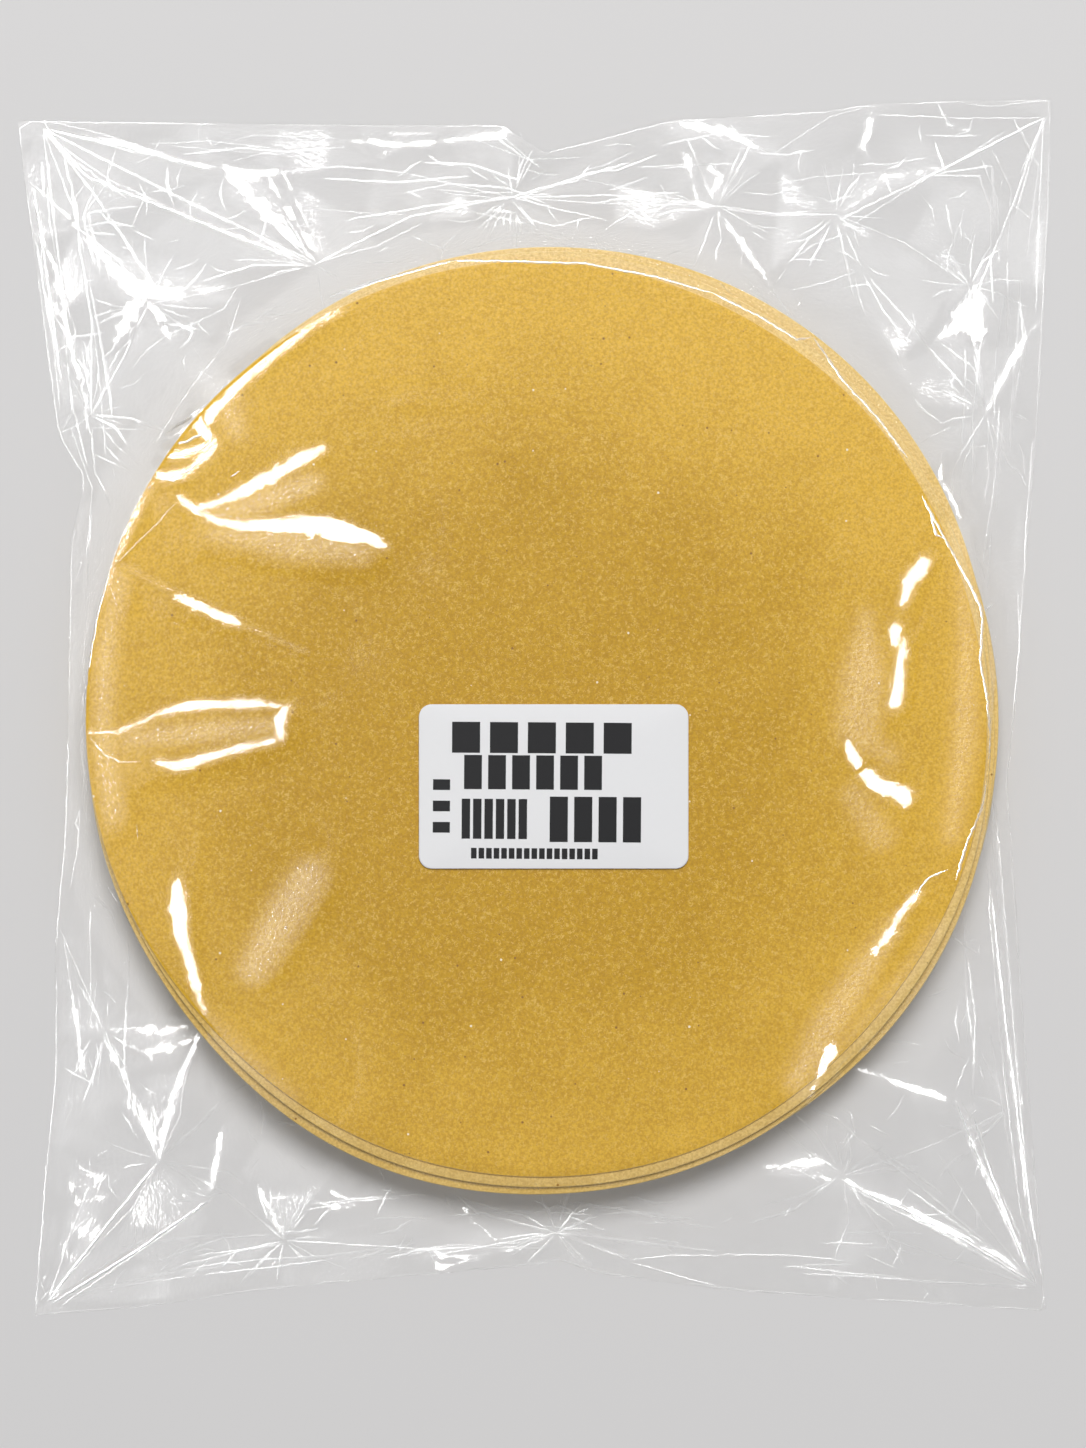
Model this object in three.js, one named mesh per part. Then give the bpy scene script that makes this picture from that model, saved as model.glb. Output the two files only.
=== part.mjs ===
// A stack of thin round papads sealed in a clear flat bag, with a paper label stuck on the bag.
// The bag is one closed solid: the stack that fills its middle, and the crumpled margins round it.
// Millimetres, +Z up. The bag lies flat and its longer side runs along Y. The origin is on the
// surface that the bag lies on, under the middle of its outline.

import * as THREE from 'three';

// Papads
const PAPAD_COUNT = 17;
const PAPAD_PITCH = 0.6;
const STACK_HEIGHT = PAPAD_COUNT * PAPAD_PITCH;
const STACK_CENTRE = new THREE.Vector2(0.2, -2.5);
const PAPAD_RADIUS = 85.2;
const PAPAD_OVAL = 0.012;

// Lower papads that stick out past the top one: where each lies and how high its upper face is
const LOWER_LAYERS = [
  { x: 1.3, y: -4.3, radius: 85.9, height: 0.72 * STACK_HEIGHT },
  { x: 2.0, y: -1.4, radius: 86.1, height: 0.46 * STACK_HEIGHT },
];
const RIM_ROUNDING = 1.2;
const STEP_WALL = 0.3;
const STEP_LEAST = 0.35;

// Bag outline, anticlockwise from the lower left corner: lower edge, right edge, upper edge, left edge
const BAG_OUTLINE = [
  [-94.5, -115.0], [-74.2, -113.6], [-52.9, -110.5], [-24.7, -107.7], [-0.8, -105.8], [4.6, -104.7],
  [11.9, -107.2], [38.3, -110.5], [59.9, -112.0], [96.7, -114.2],
  [94.5, -85.4], [92.2, -55.1], [90.0, -23.7], [89.4, -13.9], [90.9, 0.0], [93.0, 27.6],
  [95.0, 52.5], [97.3, 94.9], [97.8, 115.0],
  [78.9, 114.7], [63.8, 114.1], [55.4, 112.8], [25.7, 111.1], [2.0, 104.9], [-6.3, 110.2],
  [-56.7, 110.4], [-97.8, 111.0],
  [-96.5, 99.6], [-90.0, 51.5], [-84.9, 43.1], [-87.7, 31.4], [-88.2, -4.9], [-89.0, -27.1],
  [-90.5, -43.2], [-90.7, -70.3], [-92.4, -86.5],
];
const OUTLINE_STEP = 6.4;

// How the margins hang between the stack and the sealed edge
const EDGE_THICKNESS = 0.9;
const EDGE_HEIGHT_BESIDE_STACK = 4.2;
const EDGE_HEIGHT_AT_CORNERS = 2.6;
const EDGE_WAVE = 0.7;
const EDGE_WAVES_ROUND = 13;
const FRONT_FALL = 13;
const BACK_RISE = 9;
const LEAST_FILL = 0.8;
const LEAST_CLEARANCE = 0.3;

// Pinches in the film. From each one folds run out at the given azimuths in degrees, and each fold
// climbs or sinks from the pinch at the given slope, then fades out at the pinch's reach.
const PINCHES = [
  { x: -41.5, y: 83.7, reach: 46, folds: [[16, 0.1], [108, -0.25], [135, -0.2], [154, 0.22], [200, -0.1]] },
  { x: -86.4, y: 90.6, reach: 34, folds: [[62, 0.2], [120, -0.1], [228, 0.16], [292, -0.22], [315, 0.2], [5, -0.2]] },
  { x: -72.8, y: 76.1, reach: 26, folds: [[12, 0.25], [50, -0.2], [135, 0.2], [225, -0.25], [300, 0.15]] },
  { x: -83.8, y: 55.3, reach: 30, folds: [[20, 0.25], [52, -0.25], [82, 0.22], [110, -0.15], [330, 0.15]] },
  { x: -4.2, y: 96.3, reach: 20, folds: [[60, 0.25], [105, -0.25], [176, 0.25], [235, -0.2], [305, 0.2]] },
  { x: 34.5, y: 94.8, reach: 30, folds: [[5, -0.2], [60, 0.25], [118, -0.25], [150, 0.2], [205, -0.15], [304, 0.25]] },
  { x: 56.9, y: 93.1, reach: 34, folds: [[25, 0.25], [50, -0.25], [112, 0.22], [175, -0.2], [235, 0.2], [320, -0.2]] },
  { x: 85.4, y: 55.6, reach: 28, folds: [[62, 0.25], [95, -0.2], [125, 0.25], [170, -0.15], [290, 0.15]] },
  { x: 82.2, y: 79.7, reach: 22, folds: [[20, -0.2], [80, 0.2], [150, -0.2], [215, 0.25], [300, -0.25]] },
  { x: -81.0, y: -61.2, reach: 30, folds: [[2, 0.25], [25, -0.2], [112, 0.2], [200, -0.15], [295, 0.25], [330, -0.25]] },
  { x: -70.8, y: -85.5, reach: 36, folds: [[20, -0.15], [65, 0.25], [100, -0.2], [140, 0.2], [236, 0.25], [300, -0.25]] },
  { x: -47.5, y: -100.8, reach: 26, folds: [[0, 0.2], [60, -0.15], [118, 0.25], [175, -0.2], [260, 0.15]] },
  { x: 4.2, y: -99.6, reach: 24, folds: [[30, 0.2], [75, -0.25], [135, 0.2], [185, -0.2], [270, 0.25], [320, -0.2]] },
  { x: 58.6, y: -88.5, reach: 46, folds: [[25, -0.15], [50, 0.2], [172, 0.2], [250, -0.15], [331, 0.25], [350, -0.2]] },
  { x: 90.0, y: -76.0, reach: 34, folds: [[95, 0.25], [130, -0.25], [190, 0.2], [230, -0.2], [275, 0.2]] },
];

// Label
const LABEL_WIDTH = 50.5;
const LABEL_HEIGHT = 30.8;
const LABEL_THICKNESS = 0.3;
const LABEL_CORNER = 2.4;
const LABEL_CENTRE = new THREE.Vector2(3.6, -14.9);
const LABEL_TURN = THREE.MathUtils.degToRad(-0.4);
const LABEL_GAP = 0.3;

// Colours of the papads seen through the bag, and of the paper
const PAPAD_YELLOW = 0xd2a852;
const PAPER_WHITE = 0xf4f4f4;

// Slope of the film along an azimuth, in a straight line from one fold of a pinch to the next
function slopeBetweenFolds(folds, azimuth) {
  const next = folds.findIndex(([foldAzimuth]) => foldAzimuth > azimuth);
  const after = next < 0 ? 0 : next;
  const before = (after + folds.length - 1) % folds.length;
  const span = (folds[after][0] - folds[before][0] + 360) % 360;
  const along = ((azimuth - folds[before][0] + 360) % 360) / span;
  return THREE.MathUtils.lerp(folds[before][1], folds[after][1], along);
}

// Height that the pinches add at a point: slope times distance, faded to nothing at the reach
function crumple(point) {
  let height = 0;
  for (const pinch of PINCHES) {
    const dx = point.x - pinch.x;
    const dy = point.y - pinch.y;
    const distance = Math.hypot(dx, dy);
    if (distance < pinch.reach) {
      const azimuth = (THREE.MathUtils.radToDeg(Math.atan2(dy, dx)) + 360) % 360;
      const folds = [...pinch.folds].sort((a, b) => a[0] - b[0]);
      height += slopeBetweenFolds(folds, azimuth) * distance * (1 - distance / pinch.reach);
    }
  }
  return height;
}

// The outline cut into short pieces, so that every corner stays a point of it
function outlinePoints() {
  const points = [];
  BAG_OUTLINE.forEach((corner, index) => {
    const start = new THREE.Vector2(...corner);
    const end = new THREE.Vector2(...BAG_OUTLINE[(index + 1) % BAG_OUTLINE.length]);
    const pieces = Math.ceil(start.distanceTo(end) / OUTLINE_STEP);
    for (let piece = 0; piece < pieces; piece += 1) {
      points.push(start.clone().lerp(end, piece / pieces));
    }
  });
  return points;
}

// Distance from the stack's centre to the rim of a round papad, along a unit direction
function rimDistance(direction, x, y, radius) {
  const offset = new THREE.Vector2(x, y).sub(STACK_CENTRE);
  const along = offset.dot(direction);
  return along + Math.sqrt(radius * radius - offset.lengthSq() + along * along);
}

// Height of the sealed edge: highest beside the stack, lower at the corners, with a gentle wave
function edgeHeight(point, direction) {
  const beside = Math.abs(direction.x) ** 3;
  const level = THREE.MathUtils.lerp(EDGE_HEIGHT_AT_CORNERS, EDGE_HEIGHT_BESIDE_STACK, beside);
  return level + EDGE_WAVE * Math.sin(EDGE_WAVES_ROUND * Math.atan2(point.y, point.x));
}

// Rings of points from the middle of the top, down over the rims of the papads, out along the
// front film to the sealed edge, and back along the rear film to the flat base
function bagRings() {
  const outline = outlinePoints();
  const columns = outline.map((outer) => {
    const direction = outer.clone().sub(STACK_CENTRE).normalize();
    const oval = 1 - PAPAD_OVAL * (direction.x ** 2 - direction.y ** 2);
    const rim = PAPAD_RADIUS * oval;
    const column = [];
    const add = (distance, z) => {
      const flat = STACK_CENTRE.clone().addScaledVector(direction, distance);
      column.push(new THREE.Vector3(flat.x, flat.y, z));
    };
    for (const share of [0.4, 0.7, 0.88]) {
      add(rim * share, STACK_HEIGHT);
    }
    add(rim - RIM_ROUNDING, STACK_HEIGHT);
    add(rim, STACK_HEIGHT - PAPAD_PITCH / 2);
    let reached = rim;
    for (const layer of LOWER_LAYERS) {
      const shelf = Math.max(reached + STEP_LEAST, rimDistance(direction, layer.x, layer.y, layer.radius));
      add(reached + STEP_WALL / 2, layer.height + PAPAD_PITCH / 2);
      add(shelf, layer.height);
      reached = shelf;
    }

    const start = STACK_CENTRE.clone().addScaledVector(direction, reached);
    const startHeight = LOWER_LAYERS.at(-1).height;
    const edge = edgeHeight(outer, direction);
    const margin = start.distanceTo(outer);
    const frontShares = [0.08, 0.2, 0.34, 0.48, 0.62, 0.76, 0.9];
    const backShares = [0.85, 0.65, 0.45, 0.25, 0.1];
    const fold = (share) => {
      const flat = start.clone().lerp(outer, share);
      const loose = Math.min(1, 6 * share * (1 - share)) * Math.min(1, margin / 20);
      return { flat, lift: loose * crumple(flat) };
    };
    const backHeight = (share) => {
      const rise = 1 - Math.exp(-margin * share / BACK_RISE);
      const level = (edge - EDGE_THICKNESS / 2) * share * rise + 0.6 * fold(share).lift;
      return Math.max(LEAST_CLEARANCE, level);
    };
    for (const share of frontShares) {
      const { flat, lift } = fold(share);
      const fall = (1 - share) * Math.exp(-margin * share / FRONT_FALL);
      const level = THREE.MathUtils.lerp(edge + EDGE_THICKNESS / 2, startHeight, fall) + lift;
      column.push(new THREE.Vector3(flat.x, flat.y, Math.max(level, backHeight(share) + LEAST_FILL)));
    }
    column.push(new THREE.Vector3(outer.x, outer.y, edge + EDGE_THICKNESS / 2));
    column.push(new THREE.Vector3(outer.x, outer.y, edge - EDGE_THICKNESS / 2));
    for (const share of backShares) {
      const { flat } = fold(share);
      column.push(new THREE.Vector3(flat.x, flat.y, backHeight(share)));
    }
    add(rim - RIM_ROUNDING, 0);
    add(rim * 0.5, 0);
    return column;
  });
  return columns;
}

// A closed surface from columns of points, with one point closing the top and one the base
function closedFromColumns(columns, top, base) {
  const rings = columns[0].length;
  const positions = columns.flat().flatMap((point) => point.toArray());
  const topIndex = positions.length / 3;
  positions.push(...top.toArray(), ...base.toArray());
  const baseIndex = topIndex + 1;
  const indices = [];
  for (let column = 0; column < columns.length; column += 1) {
    const here = column * rings;
    const beside = ((column + 1) % columns.length) * rings;
    indices.push(topIndex, here, beside);
    for (let ring = 0; ring < rings - 1; ring += 1) {
      indices.push(here + ring, here + ring + 1, beside + ring + 1);
      indices.push(here + ring, beside + ring + 1, beside + ring);
    }
    indices.push(baseIndex, beside + rings - 1, here + rings - 1);
  }
  const geometry = new THREE.BufferGeometry();
  geometry.setAttribute('position', new THREE.Float32BufferAttribute(positions, 3));
  geometry.setIndex(indices);
  geometry.computeVertexNormals();
  return geometry;
}

function makeBag() {
  const top = new THREE.Vector3(STACK_CENTRE.x, STACK_CENTRE.y, STACK_HEIGHT);
  const base = new THREE.Vector3(STACK_CENTRE.x, STACK_CENTRE.y, 0);
  const material = new THREE.MeshStandardMaterial({ color: PAPAD_YELLOW, roughness: 0.35, metalness: 0 });
  const bag = new THREE.Mesh(closedFromColumns(bagRings(), top, base), material);
  bag.name = 'bag';
  return bag;
}

function makeLabel() {
  const halfWidth = LABEL_WIDTH / 2;
  const halfHeight = LABEL_HEIGHT / 2;
  const outline = new THREE.Shape();
  const corners = [[1, 1, 0], [-1, 1, 90], [-1, -1, 180], [1, -1, 270]];
  for (const [sideX, sideY, startAngle] of corners) {
    const start = THREE.MathUtils.degToRad(startAngle);
    const x = sideX * (halfWidth - LABEL_CORNER);
    const y = sideY * (halfHeight - LABEL_CORNER);
    outline.absarc(x, y, LABEL_CORNER, start, start + Math.PI / 2, false);
  }
  const options = { depth: LABEL_THICKNESS, bevelEnabled: false, curveSegments: 6 };
  const material = new THREE.MeshStandardMaterial({ color: PAPER_WHITE, roughness: 0.5, metalness: 0 });
  const label = new THREE.Mesh(new THREE.ExtrudeGeometry(outline, options), material);
  label.name = 'label';
  label.rotation.z = LABEL_TURN;
  label.position.set(LABEL_CENTRE.x, LABEL_CENTRE.y, STACK_HEIGHT + LABEL_GAP);
  return label;
}

const group = new THREE.Group();
group.add(makeBag(), makeLabel());

export default group;
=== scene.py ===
# %% [markdown]
# # A bagged stack of papads
# This lesson builds a stack of thin round papads in a clear, crinkled bag with a small paper label.
# Each piece is a surface worked out with numpy, as a height or a radius given by two parameters on a
# grid, and put into a Blender mesh in one go. Lengths are written in millimetres, as on a workshop
# drawing, and are turned into metres only when a mesh is made.

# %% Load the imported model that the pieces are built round
import math

import bpy
import numpy as np
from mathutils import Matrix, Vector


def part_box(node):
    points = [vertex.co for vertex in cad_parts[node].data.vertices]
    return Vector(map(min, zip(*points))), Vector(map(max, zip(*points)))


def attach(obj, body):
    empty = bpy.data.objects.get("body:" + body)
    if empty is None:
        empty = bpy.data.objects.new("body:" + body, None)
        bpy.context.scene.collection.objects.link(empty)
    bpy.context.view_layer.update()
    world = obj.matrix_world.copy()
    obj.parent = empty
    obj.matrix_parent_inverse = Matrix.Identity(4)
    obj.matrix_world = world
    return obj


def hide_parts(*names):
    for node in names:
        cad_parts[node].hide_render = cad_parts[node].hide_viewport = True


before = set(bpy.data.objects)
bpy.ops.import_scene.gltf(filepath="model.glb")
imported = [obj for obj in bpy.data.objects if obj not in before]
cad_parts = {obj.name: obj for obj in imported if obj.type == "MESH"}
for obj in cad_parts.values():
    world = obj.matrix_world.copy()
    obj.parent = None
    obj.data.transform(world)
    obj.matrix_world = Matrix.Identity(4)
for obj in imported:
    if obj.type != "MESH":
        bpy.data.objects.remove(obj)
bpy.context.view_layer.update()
MM = 0.001
bag_low, bag_high = (np.array(corner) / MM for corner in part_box("bag"))
label_low, label_high = (np.array(corner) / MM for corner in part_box("label"))
print("bag from", bag_low.round(1), "to", bag_high.round(1), "mm")
print("label from", label_low.round(1), "to", label_high.round(1), "mm")

# %% [markdown]
# ## Camera
# The pack lies on a table and the camera looks straight down on it. A longish lens from about
# three quarters of a metre keeps the rims of the lower papads from spreading out past the top one.

# %% Camera
CAMERA_HEIGHT = 780.0
CAMERA_CENTRE = (1.6, -3.2)
FRAME_HEIGHT = 272.2
SENSOR_HEIGHT = 24.0
LEVEL_IN_FOCUS = 8.0

camera_data = bpy.data.cameras.new("camera")
camera_data.sensor_fit = "VERTICAL"
camera_data.sensor_height = SENSOR_HEIGHT
camera_data.lens = SENSOR_HEIGHT * (CAMERA_HEIGHT - LEVEL_IN_FOCUS) / FRAME_HEIGHT
camera = bpy.data.objects.new("camera", camera_data)
camera.location = (CAMERA_CENTRE[0] * MM, CAMERA_CENTRE[1] * MM, CAMERA_HEIGHT * MM)
bpy.context.scene.collection.objects.link(camera)
bpy.context.scene.camera = camera
print("lens", round(camera_data.lens, 1), "mm")

# %% [markdown]
# ## Light
# Clear film shows itself only by what it mirrors. One broad soft lamp lights the food and the
# table. Three long lamps stand in an arc round the upper left: they are left out of matt light, and
# only give the film something bright to mirror. Each has a narrow core that fades out beside it and
# a weak wing to both sides, so that a flash has a soft border and the film round it a slight sheen.
# A flash appears wherever a fold of the film leans half way from the camera towards a lamp.

# %% Lamps
STRIP_DISTANCE = 2000.0
STRIP_ZENITH = 33.0
STRIP_AZIMUTHS = (190.0, 130.0, 70.0)
STRIP_REACH = 30.0
STRIP_WIDTH = 2400.0
STRIP_CORE = 0.085
STRIP_FADE = 0.25
STRIP_WING = 0.09
STRIP_RADIANCE = 40.0
SKY_STRENGTH = 0.34
strip_out = STRIP_DISTANCE * math.sin(math.radians(STRIP_ZENITH))
strip_length = 2 * strip_out * math.tan(math.radians(STRIP_REACH))


def softbox(name, azimuth, zenith, distance, length, width, radiance):
    """A rectangular lamp that faces the pack. Its power is radiance times pi times its area."""
    lamp = bpy.data.lights.new(name, "AREA")
    lamp.shape = "RECTANGLE"
    lamp.size = length * MM
    lamp.size_y = width * MM
    lamp.energy = radiance * math.pi * lamp.size * lamp.size_y
    turn, tilt = math.radians(azimuth), math.radians(zenith)
    made = bpy.data.objects.new(name, lamp)
    out = math.sin(tilt)
    made.location = np.array([out * math.cos(turn), out * math.sin(turn), math.cos(tilt)]) * distance * MM
    made.rotation_euler = (tilt, 0, turn + math.pi / 2)
    bpy.context.scene.collection.objects.link(made)
    return made


def fade_sides(lamp):
    """Full light over the core of the lamp's width, which dies away beside it as (1 - s) cubed, with
    s from 0 to 1 over the fade. A weak wing goes on to both sides as (1 - t) squared, with t from 0
    in the middle to 1 at the sides."""
    lamp.use_nodes = True
    tree = lamp.node_tree
    tree.nodes.clear()

    def step(operation, first, second):
        """Result of one sum of two sockets or plain values."""
        made = tree.nodes.new("ShaderNodeMath")
        made.operation = operation
        for socket, value in zip(made.inputs, (first, second)):
            if isinstance(value, bpy.types.NodeSocket):
                tree.links.new(value, socket)
            else:
                socket.default_value = value
        return made.outputs["Value"]

    place = tree.nodes.new("ShaderNodeNewGeometry").outputs["Parametric"]
    split = tree.nodes.new("ShaderNodeSeparateXYZ")
    tree.links.new(place, split.inputs["Vector"])
    off = step("MULTIPLY", step("ABSOLUTE", step("SUBTRACT", split.outputs["Y"], 0.5), 0), 2)
    beside = step("MULTIPLY", step("MAXIMUM", step("SUBTRACT", off, STRIP_CORE), 0), 1 / STRIP_FADE)
    core = step("POWER", step("MAXIMUM", step("SUBTRACT", 1, beside), 0), 3)
    wing = step("MULTIPLY", step("POWER", step("SUBTRACT", 1, off), 2), STRIP_WING)
    emission = tree.nodes.new("ShaderNodeEmission")
    tree.links.new(step("MAXIMUM", core, wing), emission.inputs["Strength"])
    output = tree.nodes.new("ShaderNodeOutputLight")
    tree.links.new(emission.outputs["Emission"], output.inputs["Surface"])


key = softbox("key", azimuth=84, zenith=30, distance=2200, length=1100, width=1000, radiance=10.9)
key.visible_glossy = False
for number, azimuth in enumerate(STRIP_AZIMUTHS):
    strip = softbox(f"strip_{number + 1}", azimuth, STRIP_ZENITH, STRIP_DISTANCE, strip_length,
                    STRIP_WIDTH, STRIP_RADIANCE)
    strip.visible_diffuse = False
    fade_sides(strip.data)

world = bpy.data.worlds.new("studio")
world.use_nodes = True
world.node_tree.nodes["Background"].inputs["Color"].default_value = (1, 1, 1, 1)
world.node_tree.nodes["Background"].inputs["Strength"].default_value = SKY_STRENGTH
bpy.context.scene.world = world

view = bpy.context.scene.view_settings
view.view_transform = "Standard"
cycles = bpy.context.scene.cycles
cycles.use_light_tree = False
cycles.max_bounces = 4
cycles.diffuse_bounces = 2
cycles.glossy_bounces = 2
cycles.transmission_bounces = 2
cycles.transparent_max_bounces = 16
print("strips", round(strip_length), "mm long")

# %% [markdown]
# ## From arrays to meshes
# A grid of points is the usual way to hold a surface: rows run one way, columns the other, and each
# cell is a four-sided face. Writing all points and faces at once with from_pydata is far quicker
# than adding them one at a time.


# %% Mesh helpers
def mesh_object(name, points, faces, material, smooth=True):
    """A mesh piece from an array of points in millimetres and a list of faces."""
    mesh = bpy.data.meshes.new(name)
    mesh.from_pydata(np.asarray(points) * MM, [], faces)
    mesh.polygons.foreach_set("use_smooth", np.full(len(mesh.polygons), smooth))
    mesh.materials.append(material)
    mesh.update()
    piece = bpy.data.objects.new(name, mesh)
    bpy.context.scene.collection.objects.link(piece)
    return piece


def ring_faces(rings, around):
    """Four-sided cells between rings of points: cell (i, j) joins ring i to ring i + 1, and column j
    to column j + 1, where the last column joins the first."""
    ring, column = np.meshgrid(np.arange(rings - 1), np.arange(around), indexing="ij")
    beside = (column + 1) % around
    corners = [ring * around + column, (ring + 1) * around + column,
               (ring + 1) * around + beside, ring * around + beside]
    return np.stack(corners, -1).reshape(-1, 4)


def closed_rings(name, points, material, normals=None):
    """A closed surface from rings of points, shape (rings, around, 3). The first and last rings
    are closed with a fan to their middle points. Normals worked out beforehand shade it truer than
    those that Blender takes from the faces."""
    rings, around = points.shape[:2]
    middles = points[[0, -1]].mean(axis=1)
    column = np.arange(around)
    beside = (column + 1) % around
    first_middle = np.full(around, rings * around)
    last_ring = (rings - 1) * around
    faces = ring_faces(rings, around).tolist()
    faces += np.stack([first_middle, column, beside], 1).tolist()
    faces += np.stack([first_middle + 1, last_ring + beside, last_ring + column], 1).tolist()
    piece = mesh_object(name, np.vstack([points.reshape(-1, 3), middles]), faces, material)
    if normals is not None:
        all_normals = np.vstack([normals.reshape(-1, 3), normals[[0, -1]].mean(axis=1)])
        piece.data.normals_split_custom_set_from_vertices(all_normals)
    return piece


# %% [markdown]
# ## Shader helpers
# Node trees read more easily when each node is made, set and wired in one line.


# %% Shader helpers
def new_material(name):
    """An empty node material with its output node."""
    material = bpy.data.materials.new(name)
    material.use_nodes = True
    material.node_tree.nodes.clear()
    output = material.node_tree.nodes.new("ShaderNodeOutputMaterial")
    return material, output


def node(material, kind, links=None, **settings):
    """A node with its settings, inputs given by name in links: a socket to wire or a plain value."""
    made = material.node_tree.nodes.new("ShaderNode" + kind)
    for key, value in settings.items():
        setattr(made, key, value)
    for key, value in (links or {}).items():
        if isinstance(value, bpy.types.NodeSocket):
            material.node_tree.links.new(value, made.inputs[key])
        else:
            made.inputs[key].default_value = value
    return made


def blend(material, factor, first, second, kind="MIX"):
    """Colour socket that mixes two colours by a factor, each a socket or a plain value."""
    made = node(material, "Mix", {0: factor, 6: first, 7: second}, data_type="RGBA", blend_type=kind)
    return made.outputs[2]


def between(material, value, low, high, new_low=0.0, new_high=1.0, kind="SMOOTHSTEP"):
    """Socket that carries value from the range low to high onto the range new_low to new_high."""
    made = node(material, "MapRange", {"Value": value, "From Min": low, "From Max": high,
                                       "To Min": new_low, "To Max": new_high},
                interpolation_type=kind)
    return made.outputs["Result"]


def sums(material, operation, *values, **settings):
    """Socket with the result of one sum, such as ADD, over sockets or plain values."""
    made = node(material, "Math", dict(enumerate(values)), operation=operation, **settings)
    return made.outputs["Value"]


def plain_material(name, colour, roughness, gloss):
    """One colour all over, with a roughness and a strength of gloss."""
    material, output = new_material(name)
    shader = node(material, "BsdfPrincipled", {
        "Base Color": (*colour, 1), "Roughness": roughness, "Specular IOR Level": gloss})
    material.node_tree.links.new(shader.outputs["BSDF"], output.inputs["Surface"])
    return material


# %% [markdown]
# ## Papads
# A papad is a disc of dried lentil dough, rolled thin and cut round. Its face has a fine sandy
# grain with pale flecks of husk and a few dark specks. Light is also painted into its colour: it is
# paler towards the rim, for light that shines through the thin dough there, and paler on its upper
# side, towards the key lamp. All of this is in one material that reads Object coordinates, so that
# the pattern stays on the dough.


# %% Papad dough
STACK_CENTRE = np.array([0.2, -2.5])
PAPAD_RADIUS = 85.2
# How far the sideways faces of each cut edge are painted paler, as painted light
PAINTED_EDGE_LIGHT = 0.5
# Way towards the upper side, where the key lamp stands, which is painted paler
LIT_SIDE_WAY = (0.4, 0.95, 0)


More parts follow.
